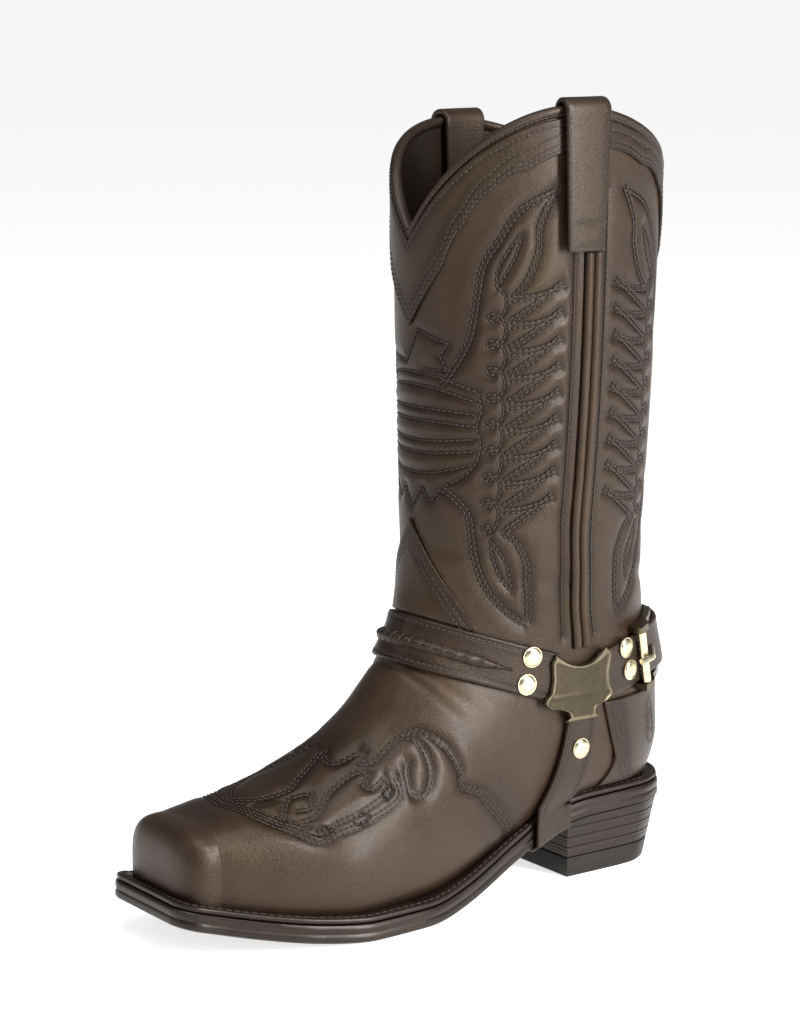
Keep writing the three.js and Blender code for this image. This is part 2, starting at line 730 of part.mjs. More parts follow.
// A leather loop over the collar at a side seam, down both faces of the shaft.
function pullStrap(side) {
  const columns = 2;
  const half = strapThickness / 2;
  const outerSeat = clearance + overlayThickness + bindingThickness + clearance + half;
  const innerSeat = -(upperWall + clearance + bindingThickness + clearance + half);
  const top = sidePeak(side);
  const middleTurn = quarter - pullStrapForward * turnsPerLength;
  const across = (v, share) => {
    const width = pullStrapWidth * mix(pullStrapNarrowing, 1, share);
    return side * (middleTurn + (v - 0.5) * width * turnsPerLength);
  };
  const onShaft = (v, share, offset) => {
    const turn = across(v, share);
    return offSurface(rowAtHeight(turn, mix(top - pullStrapDrop, top, share)), turn, offset);
  };
  const outside = [0, 0.3, 0.6, 0.85, 1].map((share) => (v, grow) => onShaft(v, share, outerSeat + grow));
  const inside = [1, 0.8, 0.5, 0.15].map((share) => (v, grow) => onShaft(v, share, innerSeat - grow));
  const overTop = [0.2, 0.4, 0.6, 0.8].map((share) => (v, grow) => {
    const from = onShaft(v, 1, outerSeat + grow);
    const placed = from.lerp(onShaft(v, 1, innerSeat - grow), 0.5 - 0.5 * Math.cos(Math.PI * share));
    placed.z += (pullStrapRise + grow) * Math.sin(Math.PI * share);
    return placed;
  });
  const lines = [...outside, ...overTop, ...inside];
  const grid = (grow) => lines.map((line) => Array.from({ length: columns + 1 }, (_, j) => line(j / columns, grow)));
  return solidFromGrids(grid(half), grid(-half));
}

// The harness: two plates at the ankle, joined by straps over the instep, round the heel and under the waist
const strapLow = clearance;
const strapHigh = clearance + strapThickness;
const plateLow = strapHigh + clearance;

// The turn where a side's surface passes a place along the boot at a height.
const turnAt = (side, x, z) => whereOnSide(side, x, z).turn;

// A strap along a tilted level from one turn to another, its width measured up the boot.
function levelStrap({ level, width, from, to, along, across = 2, low = () => strapLow, high = () => strapHigh }) {
  return patch({
    along,
    across,
    place: (s, v) => {
      const turn = mix(from, to, s);
      return { turn, row: rowOnLevel(turn, { ...level, z: level.z + (v - 0.5) * width(s) }) };
    },
    low,
    high,
  });
}

const frontStrap = () =>
  levelStrap({
    level: frontLevel,
    width: () => frontStrapWidth,
    from: turnAt(-1, frontReach, frontLevel.z),
    to: turnAt(1, frontReach, frontLevel.z),
    along: 24,
  });

// The buckle sits on the outer side of the heel's back. Its hinge bar is behind and its roller in front.
const buckleX = plateX - 1.37 * plateLength;
const buckleZ = rearLevel.z + rearLevel.slope * (buckleX - rearLevel.x);
const buckleTurn = turnAt(1, buckleX, buckleZ);
const heelTurnsPerLength = 2 / shaftDepth / 0.53;
const rollerTurn = buckleTurn - (buckleLength / 2) * heelTurnsPerLength;
const hingeTurn = buckleTurn + (buckleLength / 2) * heelTurnsPerLength;
const barTurn = buckleBar * heelTurnsPerLength;
const frameLow = clearance + 0.3;
const frameHigh = frameLow + buckleBar;
const tailTurn = 1.1 * buckleLength * heelTurnsPerLength;

// A point over the rear strap's middle line: a turn, a rise up the boot and an offset.
const onRear = (turn, rise, offset) =>
  offSurface(rowOnLevel(turn, { ...rearLevel, z: rearLevel.z + rise }), turn, offset);

// The strap from the inner plate round the heel to the buckle's hinge bar.
const backStrap = () =>
  levelStrap({
    level: rearLevel,
    width: () => rearStrapWidth,
    from: turnAt(-1, rearReach, rearLevel.z),
    to: hingeTurn + barTurn - 2 * Math.PI,
    along: 26,
  });

// The strap from the outer plate: under the roller, up through the frame and back over the hinge bar.
function buckledStrap() {
  const from = turnAt(1, rearReach, rearLevel.z);
  const to = hingeTurn + tailTurn;
  const shareOf = (turn) => (turn - from) / (to - from);
  const start = shareOf(rollerTurn + rollerRadius * heelTurnsPerLength);
  const end = shareOf(hingeTurn - barTurn);
  const lifted = frameHigh + clearance - strapLow;
  const climb = (s) => lifted * smooth(clamp01((s - start) / (end - start)));
  const strap = levelStrap({
    level: rearLevel,
    width: (s) => rearStrapWidth * (1 - 0.45 * Math.pow(clamp01((s - 0.88) / 0.12), 2)),
    from,
    to,
    along: 30,
    low: (s) => strapLow + climb(s),
    high: (s) => strapHigh + climb(s),
  });
  return strap.subtract(prong(clearance));
}

// The buckle's frame: two arms with cheeks that hold the roller, and the hinge bar that joins them.
function buckleFrame() {
  const reachUp = rearStrapWidth / 2 + 2 * clearance + buckleBar;
  const middle = (hingeTurn + rollerTurn) / 2;
  const halfTurn = (hingeTurn - rollerTurn) / 2 + barTurn / 2;
  const frontTurn = rollerTurn - rollerRadius * heelTurnsPerLength;
  const armShare = 0.24;
  const squareness = 0.36;
  const rounded = (value) => Math.sign(value) * Math.pow(Math.abs(value), squareness);
  const cheekTop = plateLow + 2 * rollerRadius;
  return patch({
    along: 36,
    across: 1,
    place: (s, v) => {
      const inset = (1 - v) * buckleBar;
      const intoBend = clamp01((s - armShare) / (1 - 2 * armShare));
      const angle = mix(quarter, -quarter, intoBend);
      const armLeft = clamp01(1 - Math.min(s, 1 - s) / armShare);
      const bend = middle + rounded(Math.cos(angle)) * (halfTurn - inset * heelTurnsPerLength);
      const turn = armLeft > 0 ? mix(middle, frontTurn, armLeft) : bend;
      const z = rearLevel.z + rounded(Math.sin(angle)) * (reachUp - inset);
      return { turn, row: rowOnLevel(turn, { ...rearLevel, z }) };
    },
    low: frameLow,
    high: (s) => mix(frameHigh, cheekTop, smooth(clamp01(2 - (3 * Math.min(s, 1 - s)) / armShare))),
  });
}

// A round bar between two points.
function bar(from, to, radius, sides) {
  const middle = from.clone().add(to).multiplyScalar(0.5);
  const way = to.clone().sub(from);
  const geometry = new THREE.CylinderGeometry(radius, radius, way.length(), sides);
  geometry.applyQuaternion(new THREE.Quaternion().setFromUnitVectors(point(0, 1, 0), way.normalize()));
  geometry.translate(middle.x, middle.y, middle.z);
  return solidFromGeometry(geometry);
}

function solidFromGeometry(geometry) {
  const bare = geometry.index ? geometry.toNonIndexed() : geometry;
  const positions = Array.from(bare.attributes.position.array);
  return closedSolid(positions, Array.from({ length: positions.length / 3 }, (_, i) => i));
}

function roller() {
  const half = rearStrapWidth / 2 + clearance;
  const offset = plateLow + rollerRadius;
  return bar(onRear(rollerTurn, -half, offset), onRear(rollerTurn, half, offset), rollerRadius, 12);
}

// The prong, from behind the strap at the hinge bar, through the strap's hole and over the roller.
function prong(grow = 0) {
  const radius = prongWidth / 2;
  const over = plateLow + 2 * rollerRadius + clearance + radius;
  const crest = onRear(rollerTurn, 0, over);
  const tip = onRear(rollerTurn - 2 * rollerRadius * heelTurnsPerLength, 0, over - radius);
  const root = onRear(hingeTurn - barTurn / 2 - (radius + 2 * clearance) * heelTurnsPerLength, 0, frameLow + radius);
  return bar(root, crest, radius + grow, 8).add(bar(crest, tip, radius + grow, 8));
}

// A plate's outline: rows from its top to its hooked foot, as shares of its height and half its length.
const plateOutline = [
  { down: 0.0, dip: 0.2, back: -0.73, front: 0.73 },
  { down: 0.18, dip: 0.12, back: -0.86, front: 0.86 },
  { down: 0.55, dip: 0.0, back: -0.83, front: 0.9 },
  { down: 0.7, dip: 0.0, back: -0.94, front: 1.08 },
  { down: 0.77, dip: 0.0, back: -0.78, front: 0.9 },
  { down: 0.84, dip: 0.0, back: -0.42, front: 0.45 },
  { down: 0.93, dip: 0.0, back: -0.42, front: 0.34 },
  { down: 1.0, dip: 0.0, back: -0.5, front: 0.48 },
];

// The strap under the plate leans to the toe on its way down.
const underStrapLean = 0.14;
const underStrapX = (z) => plateX - 0.12 * plateLength + underStrapLean * (plateZ - z);

// A metal plate over the ends of three straps, bent to the ankle.
function plate(side) {
  const last = plateOutline.length - 1;
  return patch({
    along: last,
    across: 6,
    place: (s, v) => {
      const { down, dip, back, front } = plateOutline[Math.round(s * last)];
      const z = plateZ + (0.5 - down - dip * (1 - Math.pow(2 * v - 1, 2))) * plateHeight;
      return whereOnSide(side, plateX + (mix(back, front, v) * plateLength) / 2, z);
    },
    low: plateLow,
    high: plateLow + plateThickness,
  });
}

// The strap from plate to plate, down the sides, round the edge of the sole and under its waist. A line of it
// gives a point for each place across the strap and each offset from its middle.
function underStrap() {
  const top = rearLevel.z - rearStrapWidth / 2 - 2 * clearance;
  const half = strapThickness / 2;
  const seatAt = (share) => half + clearance * (1 + 1.5 * share);
  const middle = heelLength + underStrapFoot / 2 + 2 * clearance;
  const lowest = soleTop(middle) + weltThickness + 2 * strapThickness;
  const footX = (v) => middle + (v - 0.5) * underStrapFoot;
  const sideLine = (side, share) => (v, offset) => {
    const z = mix(top, lowest, share);
    const width = mix(underStrapTop, underStrapFoot, share);
    const x = mix(underStrapX(z), middle, Math.pow(share, 3)) + (v - 0.5) * width;
    const { row, turn } = whereOnSide(side, x, z);
    return offSurface(row, turn, seatAt(share) + offset);
  };
  const edgeOf = (side, x) => (side > 0 ? outerEdge(x) : innerEdge(x));
  const edgeLine = (side, below) => (v, offset) => {
    const x = footX(v);
    const out = edgeOf(side, x) + soleFlare + 2 * clearance + half + offset;
    return point(x, side * out, soleTop(x) + weltThickness - below);
  };
  const soleLine = (side, inset) => (v, offset) => {
    const x = footX(v);
    return point(x, side * (edgeOf(side, x) - inset), soleUnder(x) - 2 * clearance - half - offset);
  };
  const sideLines = (side) => [
    ...[0, 0.2, 0.4, 0.6, 0.8, 1].map((share) => sideLine(side, share)),
    edgeLine(side, 0),
    edgeLine(side, weltThickness + soleThickness),
    soleLine(side, half),
    soleLine(side, underStrapFoot / 2),
  ];
  const lines = [...sideLines(1), ...sideLines(-1).reverse()];
  const columns = 4;
  const grid = (offset) =>
    lines.map((line) => Array.from({ length: columns + 1 }, (_, j) => line(j / columns, offset)));
  return solidFromGrids(grid(half), grid(-half));
}

// A domed rivet on the harness at a side, place and height.
function rivet(side, x, z) {
  const { row, turn } = whereOnSide(side, x, z);
  const profile = [
    new THREE.Vector2(0, 0),
    new THREE.Vector2(rivetRadius, 0),
    new THREE.Vector2(rivetRadius * 0.92, rivetHeight * 0.55),
    new THREE.Vector2(rivetRadius * 0.55, rivetHeight),
    new THREE.Vector2(0, rivetHeight),
  ];
  const geometry = new THREE.LatheGeometry(profile, 10);
  geometry.applyQuaternion(new THREE.Quaternion().setFromUnitVectors(point(0, 1, 0), surfaceNormal(row, turn)));
  const foot = offSurface(row, turn, plateLow);
  geometry.translate(foot.x, foot.y, foot.z);
  return solidFromGeometry(geometry);
}

// The rivets of one side, from the plate's middle: along in half plate lengths, up in plate heights.
const rivetPlaces = [
  { name: 'front_upper', along: 1.35, up: 0.51 },
  { name: 'front_lower', along: 1.5, up: 0.12 },
  { name: 'rear_upper', along: -1.47, up: 0.4 },
  { name: 'rear_lower', along: -1.63, up: 0.06 },
  { name: 'under', along: -0.05, up: -0.92 },
];

// Materials and the assembled boot

const material = (color, roughness, metalness = 0) => new THREE.MeshStandardMaterial({ color, roughness, metalness });
const shaftLeather = material('#4a3729', 0.5);
const harnessLeather = material('#35241b', 0.45);
const soleLeather = material('#2b1c14', 0.5);
const heelRubber = material('#15120f', 0.8);
const lining = material('#1c1a17', 0.8);
const agedBrass = material('#b9ab84', 0.35, 1);
const darkMetal = material('#6f6a58', 0.45, 1);

const boot = new THREE.Group();
const standing = new THREE.Group();
standing.position.x = -heelFaceMiddle;
boot.add(standing);

// Adds one piece as a mesh with its own copy of the material.
function addPiece(name, solid, finish) {
  const mesh = solid.getMesh();
  const geometry = new THREE.BufferGeometry();
  geometry.setAttribute('position', new THREE.BufferAttribute(new Float32Array(mesh.vertProperties), 3));
  geometry.setIndex(new THREE.BufferAttribute(new Uint32Array(mesh.triVerts), 1));
  geometry.computeVertexNormals();
  const piece = new THREE.Mesh(geometry, finish.clone());
  piece.name = name;
  standing.add(piece);
}

addPiece('outsole', outsole(), soleLeather);
addPiece('welt', welt(), soleLeather);
addPiece('heel_stack', heelStack(), soleLeather);
addPiece('heel_lift', heelLift(), heelRubber);
addPiece('insole', insole(), lining);
addPiece('upper', upper(), shaftLeather);
addPiece('collar_band', collarBand(), shaftLeather);
addPiece('collar_binding', collarBinding(), harnessLeather);
addPiece('vamp_tongue', tongue(), shaftLeather);
addPiece('heel_counter', counter(), shaftLeather);
addPiece('front_strap', frontStrap(), harnessLeather);
addPiece('under_strap', underStrap(), harnessLeather);
addPiece('back_strap', backStrap(), harnessLeather);
addPiece('buckled_strap', buckledStrap(), harnessLeather);
addPiece('buckle_frame', buckleFrame(), darkMetal);
addPiece('buckle_roller', roller(), agedBrass);
addPiece('buckle_prong', prong(), agedBrass);
[1, -1].forEach((side) => {
  const name = side > 0 ? 'outer' : 'inner';
  addPiece(`side_piping_${name}`, sidePiping(side), shaftLeather);
  addPiece(`pull_strap_${name}`, pullStrap(side), shaftLeather);
  addPiece(`harness_plate_${name}`, plate(side), darkMetal);
  rivetPlaces.forEach(({ name: place, along, up }) => {
    const x = plateX + (along * plateLength) / 2;
    addPiece(`rivet_${name}_${place}`, rivet(side, x, plateZ + up * plateHeight), agedBrass);
  });
});

export default boot;
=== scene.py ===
"""The looks of a square-toed biker boot for the left foot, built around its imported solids."""
import logging
import math
from dataclasses import dataclass
from enum import Enum
from typing import Callable, Sequence

import bmesh
import bpy
import numpy as np
from mathutils import Matrix, Quaternion, Vector
from mathutils.kdtree import KDTree


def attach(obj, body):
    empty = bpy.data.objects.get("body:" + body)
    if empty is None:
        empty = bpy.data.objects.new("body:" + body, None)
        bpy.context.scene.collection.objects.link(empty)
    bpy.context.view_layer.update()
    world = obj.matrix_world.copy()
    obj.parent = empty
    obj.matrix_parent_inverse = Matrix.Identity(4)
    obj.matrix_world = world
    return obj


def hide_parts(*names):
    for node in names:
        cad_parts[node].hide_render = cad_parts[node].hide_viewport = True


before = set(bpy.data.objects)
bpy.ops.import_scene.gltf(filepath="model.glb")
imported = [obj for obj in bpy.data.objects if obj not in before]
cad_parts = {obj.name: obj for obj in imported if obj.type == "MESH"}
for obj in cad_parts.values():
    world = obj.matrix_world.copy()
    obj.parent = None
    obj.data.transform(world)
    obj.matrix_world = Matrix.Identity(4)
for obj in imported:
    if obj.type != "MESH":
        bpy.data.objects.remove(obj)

log = logging.getLogger("boot")
MILLIMETRE = 0.001
QUARTER = math.pi / 2
# How deep the thread on an overlay is sunk: below nought, as it stands proud of the leather
PROUD = -0.12
MERGE_DISTANCE = 2e-6
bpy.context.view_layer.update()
SIDES = {1: "outer", -1: "inner"}
Place = Callable[[np.ndarray, np.ndarray], tuple[np.ndarray, np.ndarray]]
Level = Callable[[np.ndarray], np.ndarray]


def mix(start: float, end: float, share: float) -> float:
    """The value a share of the way from start to end."""
    return start + (end - start) * share


def smooth(share: np.ndarray) -> np.ndarray:
    """An eased share between 0 and 1."""
    held = np.clip(share, 0, 1)
    return held * held * (3 - 2 * held)


def near(distance: np.ndarray, reach: float) -> np.ndarray:
    """A share that is 1 at no distance and fades softly over a reach."""
    return np.exp(-((distance / reach) ** 2))


def curve(start: np.ndarray, end: np.ndarray, leaving: np.ndarray, coming: np.ndarray,
          s: np.ndarray) -> np.ndarray:
    """A cubic from start to end with the tangents at both, at shares s of the way."""
    return (
        (2 * s**3 - 3 * s**2 + 1) * start
        + (s**3 - 2 * s**2 + s) * leaving
        + (3 * s**2 - 2 * s**3) * end
        + (s**3 - s**2) * coming
    )


def walked(points: np.ndarray) -> np.ndarray:
    """How far along a line of points each of them lies."""
    return np.concatenate([[0], np.cumsum(np.linalg.norm(np.diff(points, axis=0), axis=1))])


def read_off(at: np.ndarray, known: np.ndarray, values: np.ndarray) -> np.ndarray:
    """Rows of values between those at the known places."""
    return np.stack([np.interp(at, known, column) for column in values.T], -1)


@dataclass(frozen=True)
class Sole:
    """The sole's sizes in millimetres and its outline."""

    length: float = 303.0
    thickness: float = 9.0
    heel_height: float = 40.5
    heel_length: float = 75.0
    heel_taper: float = 10.0
    lift: float = 10.0
    toe_spring: float = 17.0
    toe_corner: float = 10.0
    welt: float = 3.5
    back: float = -42.5
    ball_width: float = 105.0
    flat_start: float = 0.58
    flat_end: float = 0.685
    heel_breast: float = 0.78

    PLAN_STEPS = 400
    TINY = 0.02
    # Share along the sole, then the outer and inner half widths in millimetres
    PLAN = np.array([
        (0.0, 0.0, 0.0), (0.01, 15.2, 15.2), (0.04, 27.1, 27.1), (0.085, 32.2, 31.7), (0.14, 33.0, 32.0),
        (0.25, 33.0, 30.0), (0.37, 38.5, 30.8), (0.49, 47.3, 37.8), (0.6, 54.1, 46.2), (0.69, 55.1, 50.1),
        (0.79, 49.9, 49.6), (0.88, 41.2, 44.6), (0.96, 33.0, 37.3), (1.0, 30.7, 35.0),
    ])

    def under(self, x: np.ndarray) -> np.ndarray:
        """The height of the sole's underside at a place along the boot."""
        along = np.asarray(x, float) - self.back
        start, end = self.flat_start * self.length, self.flat_end * self.length
        waist = smooth((start - along) / (start - self.heel_breast * self.heel_length))
        seat = self.heel_height - self.thickness
        rise = seat * (0.12 * np.clip((start - along) / start, 0, 1) + 0.88 * waist)
        toe = self.toe_spring * np.clip((along - end) / (self.length - end), 0, 2) ** 1.6
        return np.where(along > end, toe, np.where(along >= start, 0.0, rise))

    def top(self, x: np.ndarray) -> np.ndarray:
        """The height of the sole's top at a place along the boot."""
        return self.under(x) + self.thickness

    def edge(self, x: np.ndarray, column: int) -> np.ndarray:
        """Half the sole's width at a place, outside for column 1 and inside for 2."""
        along = np.clip(np.asarray(x, float) - self.back, 0, self.length)
        at = self.PLAN[:, 0] * self.length
        values = self.PLAN[:, column]
        gap = np.diff(at)
        slope = np.diff(values) / gap
        product = slope[:-1] * slope[1:]
        total = np.where(slope[:-1] + slope[1:] == 0, 1, slope[:-1] + slope[1:])
        inner = np.where(product <= 0, 0, 2 * product / total)
        tangent = np.concatenate([slope[:1], inner, slope[-1:]])
        i = np.clip(np.searchsorted(at, along, side="right") - 1, 0, len(gap) - 1)
        s = (along - at[i]) / gap[i]
        width = curve(values[i], values[i + 1], tangent[i] * gap[i], tangent[i + 1] * gap[i], s)
        corner = np.clip(along - (self.length - self.toe_corner), 0, None) / self.toe_corner
        return width - self.toe_corner * (1 - np.sqrt(np.clip(1 - corner**2, 0, 1)))

    def loop(self, count: int, out: float = 0.0) -> np.ndarray:
        """The sole's outline as a closed loop of points in plan, moved out by a distance.

        Args:
            count: how many points the loop has.
            out: how far the loop stands outside the sole's edge.

        Returns:
            The points in plan, evenly spaced along the edge.
        """
        share = 0.5 - 0.5 * np.cos(np.linspace(0, math.pi, self.PLAN_STEPS))
        x = self.back + self.TINY + share * (self.length - self.TINY)
        outer = np.stack([x, self.edge(x, 1)], -1)
        inner = np.stack([x, -self.edge(x, 2)], -1)[::-1]
        line = np.concatenate([outer, inner, outer[:1]])
        along = walked(line)
        loop = read_off(np.linspace(0, along[-1], count, endpoint=False), along, line)
        ahead = np.roll(loop, -2, axis=0) - np.roll(loop, 2, axis=0)
        ahead /= np.linalg.norm(ahead, axis=1)[:, None]
        return loop + out * np.stack([-ahead[:, 1], ahead[:, 0]], -1)


SOLE = Sole()


@dataclass(frozen=True)
class Last:
    """The shape of the lasted upper and its shaft: a smooth surface over rows and turns, in millimetres."""

    instep: float = 134.0
    shaft: float = 384.0
    depth: float = 147.0
    width: float = 101.0
    blunt: float = 17.0
    squareness: float = 3.6
    toe_middle: float = 0.42
    wall: float = 2.4
    peak_tilt: float = 5.0
    front_dip: float = 54.5
    back_dip: float = 48.0
    plate_x: float = 33.86
    plate_z: float = 103.05
    strap_part: float = 0.67
    front_slope: float = 0.33
    rear_slope: float = 0.18

    # Front x and z, back x and z, outer and inner width, widest share, top and low roundness.
    # A section with no back height stands on the sole.
    FOOT = (
        (0.927, 0.448, 0.927, None, 0.57, 0.62, 0.6, 0.6, 0.34),
        (0.874, 0.474, 0.874, None, 0.68, 0.72, 0.64, 0.75, 0.35),
        (0.802, 0.515, 0.799, None, 0.82, 0.81, 0.68, 0.9, 0.36),
        (0.722, 0.578, 0.71, None, 0.93, 0.85, 0.71, 0.98, 0.38),
        (0.656, 0.657, 0.613, None, 0.93, 0.81, 0.71, 1.0, 0.42),
        (0.607, 0.743, 0.507, None, 0.87, 0.74, 0.68, 1.0, 0.46),
        (0.572, 0.828, 0.4, None, 0.8, 0.71, 0.63, 0.98, 0.5),
        (0.548, 0.892, 0.283, None, 0.765, 0.71, 0.58, 0.97, 0.56),
        (0.533, 0.944, 0.167, None, 0.755, 0.715, 0.55, 0.96, 0.62),
        (0.5215, 0.991, 0.06, None, 0.75, 0.72, 0.53, 0.96, 0.72),
        (0.512, 1.042, 0.0115, 0.41, 0.75, 0.725, 0.515, 0.95, 0.82),
        (0.505, 1.1, 0.0045, 0.56, 0.755, 0.735, 0.505, 0.95, 0.88),
        (0.499, 1.172, 0.0105, 0.725, 0.76, 0.75, 0.5, 0.95, 0.9),
        (0.496, 1.254, 0.028, 0.89, 0.775, 0.77, 0.5, 0.95, 0.92),
        (0.494, 1.351, 0.037, 1.06, 0.8, 0.8, 0.5, 0.95, 0.93),
    )
    # Front and back height, back, depth and width of the shaft's sections
    SHAFT = (
        (0.255, 0.145, 0.082, 0.938, 0.865),
        (0.355, 0.29, 0.0735, 0.9485, 0.91),
        (0.475, 0.445, 0.063, 0.961, 0.945),
        (0.62, 0.615, 0.0545, 0.9725, 0.97),
        (0.8, 0.8, 0.049, 0.983, 0.985),
        (1.08, 1.08, 0.048, 0.988, 0.99),
    )

    def table(self) -> np.ndarray:
        """All sections in millimetres, a row each."""
        rows = []
        for front_x, front_z, back_x, back_z, outer, inner, *roundness in self.FOOT:
            place = back_x * SOLE.length + SOLE.back
            low = float(SOLE.top(place)) - self.wall if back_z is None else back_z * self.instep
            half = SOLE.ball_width / 2
            front = (front_x * SOLE.length + SOLE.back, front_z * self.instep)
            rows.append([*front, place, low, outer * half, inner * half, *roundness])
        for front_z, back_z, back, depth, side in self.SHAFT:
            rise = self.shaft - self.instep
            half = side * self.width / 2
            front = ((back + depth) * self.depth + SOLE.back, self.instep + rise * front_z)
            rear = (back * self.depth + SOLE.back, self.instep + rise * back_z)
            rows.append([*front, *rear, half, half, 0.49, 0.95, 0.93])
        return np.array(rows)

    def sections(self, row: np.ndarray) -> np.ndarray:
        """The section at each row number, with the blunt toe below row 1."""
        place = np.maximum(row - 1, 0)
        last = len(TABLE) - 1
        i = np.clip(np.floor(place).astype(int), 0, last - 1)
        s = (place - i)[..., None]
        a, b, c, d = (TABLE[np.clip(i + k, 0, last)] for k in (-1, 0, 1, 2))
        found = curve(b, c, (c - a) / 2, (d - b) / 2, s)
        toe = row < 1
        if toe.any():
            held = np.clip(row[toe], 0, 1)
            grown = np.sin(QUARTER * held) ** (2 / self.squareness)
            ahead = self.blunt * np.cos(QUARTER * held) ** (2 / self.squareness)
            part = found[toe]
            middle = mix(part[:, 3], part[:, 1], self.toe_middle)
            part[:, [0, 2]] += ahead[:, None]
            for column in (1, 3):
                part[:, column] = mix(middle, part[:, column], grown)
            part[:, 4:6] *= grown[:, None]
            found[toe] = part
        return found

    def point(self, row: np.ndarray, turn: np.ndarray) -> np.ndarray:
        """Points of the surface at rows and turns.

        Args:
            row: row numbers, from the toe's middle at 0 to the top of the shaft.
            turn: 0 on the front line, a quarter turn on the outer seam, half a turn at the back.

        Returns:
            The points in millimetres.
        """
        row, turn = np.broadcast_arrays(np.asarray(row, float), np.asarray(turn, float))
        s = self.sections(row)
        wrapped = np.arctan2(np.sin(turn), np.cos(turn))
        bend = np.abs(wrapped)
        front = bend <= QUARTER
        power = np.where(front, s[..., 7], s[..., 8])
        along = np.abs(np.cos(bend)) ** power
        across = np.maximum(np.sin(bend), 0) ** power
        share = np.where(front, s[..., 6] * (1 - along), s[..., 6] + (1 - s[..., 6]) * along)
        side = np.where(wrapped >= 0, s[..., 4], -s[..., 5])
        x = mix(s[..., 0], s[..., 2], share)
        z = mix(s[..., 1], s[..., 3], share)
        return np.stack([x, side * across, z], -1)

    def normal(self, row: np.ndarray, turn: np.ndarray) -> np.ndarray:
        """The way out of the surface at rows and turns."""
        step = 0.02
        held = np.maximum(row, 0.12)
        up = self.point(np.minimum(held + step, len(TABLE)), turn) - self.point(held - step, turn)
        around = self.point(held, turn + step) - self.point(held, turn - step)
        way = np.cross(around, up)
        return way / np.linalg.norm(way, axis=-1)[..., None]

    def off(self, row: np.ndarray, turn: np.ndarray, offset: np.ndarray) -> np.ndarray:
        """Points off the surface by an offset, never below the sole's top."""
        row, turn = np.broadcast_arrays(np.asarray(row, float), np.asarray(turn, float))
        placed = self.point(row, turn) + self.normal(row, turn) * np.asarray(offset)[..., None]
        placed[..., 2] = np.maximum(placed[..., 2], SOLE.top(placed[..., 0]) + 0.4)
        return placed

    def row_where(self, turn: np.ndarray, passed: Callable[[np.ndarray], np.ndarray]) -> np.ndarray:
        """The row on each turn from which a test on the surface's points holds."""
        low = np.full(np.shape(turn), 4.0)
        high = np.full(np.shape(turn), float(len(TABLE)))
        for _ in range(22):
            middle = (low + high) / 2
            found = passed(self.point(middle, turn))
            high = np.where(found, middle, high)
            low = np.where(found, low, middle)
        return (low + high) / 2

    def row_at(self, turn: np.ndarray, height: np.ndarray) -> np.ndarray:
        """The row where each turn meets a height."""
        return self.row_where(turn, lambda p: p[..., 2] > height)

    def line_at(self, turn: np.ndarray, height: np.ndarray) -> np.ndarray:
        """The rows and turns of a line that has a height on each turn."""
        return np.stack([self.row_at(turn, height), turn], -1)

    def row_on(self, turn: np.ndarray, level: Level, rise: np.ndarray | float = 0.0) -> np.ndarray:
        """The row where each turn meets a tilted level, moved up by a rise."""
        return self.row_where(turn, lambda p: p[..., 2] > level(p[..., 0]) + rise)

    def on_side(self, side: int, x: np.ndarray, z: np.ndarray) -> tuple[np.ndarray, np.ndarray]:
        """The rows and turns of one side's surface at places along the boot and heights."""
        x, z = np.broadcast_arrays(np.asarray(x, float), np.asarray(z, float))
        low = np.full(x.shape, 0.15 * math.pi)
        high = np.full(x.shape, 0.9 * math.pi)
        for _ in range(20):
            middle = (low + high) / 2
            behind = self.point(self.row_at(side * middle, z), side * middle)[..., 0] < x
            high = np.where(behind, middle, high)
            low = np.where(behind, low, middle)
        turn = side * (low + high) / 2
        return self.row_at(turn, z), turn

    def collar(self, turn: np.ndarray) -> np.ndarray:
        """The height of the collar's edge on each turn."""
        bend = np.arccos(np.cos(turn))
        peak = 0.92 * QUARTER
        front = self.front_dip * (1 - np.clip(bend / peak, 0, 1)) ** 1.9
        rear = self.back_dip * (1 - np.clip((math.pi - bend) / (math.pi - peak), 0, 1)) ** 1.5
        return self.shaft + self.peak_tilt * np.sin(turn) - np.where(bend <= peak, front, rear)

    def band(self, turn: np.ndarray) -> np.ndarray:
        """The scalloped lower edge of the collar band on each turn."""
        bend = np.arccos(np.cos(turn))
        share = np.where(bend <= QUARTER, bend, math.pi - bend) / QUARTER
        at = np.array([0.0, 0.25, 0.365, 0.508, 0.694, 1.0])
        drop = np.array([0.26, 0.186, 0.14, 0.099, 0.074, 0.05])
        i = np.clip(np.searchsorted(at, share, side="right") - 1, 0, len(at) - 2)
        between = (share - at[i]) / (at[i + 1] - at[i])
        bulge = np.where(i == 0, 0, 2.6 * np.sin(math.pi * np.clip(between, 0, 1)))
        fall = np.interp(share, at, drop) * self.shaft
        return self.shaft + self.peak_tilt * np.sin(turn) - fall + bulge

    def front_level(self, x: np.ndarray) -> np.ndarray:
        """The middle height of the strap over the instep."""
        return self.plate_z + self.strap_part + self.front_slope * (x - self.plate_x)

    def rear_level(self, x: np.ndarray) -> np.ndarray:
        """The middle height of the straps round the heel."""
        return self.plate_z - self.strap_part - self.rear_slope * (x - self.plate_x)

    def waist_level(self, x: np.ndarray) -> np.ndarray:
        """The line under the harness where the shaft's panels meet the foot."""
        return np.where(x > self.plate_x, self.front_level(x), self.rear_level(x))


TABLE = Last().table()
LAST = Last()


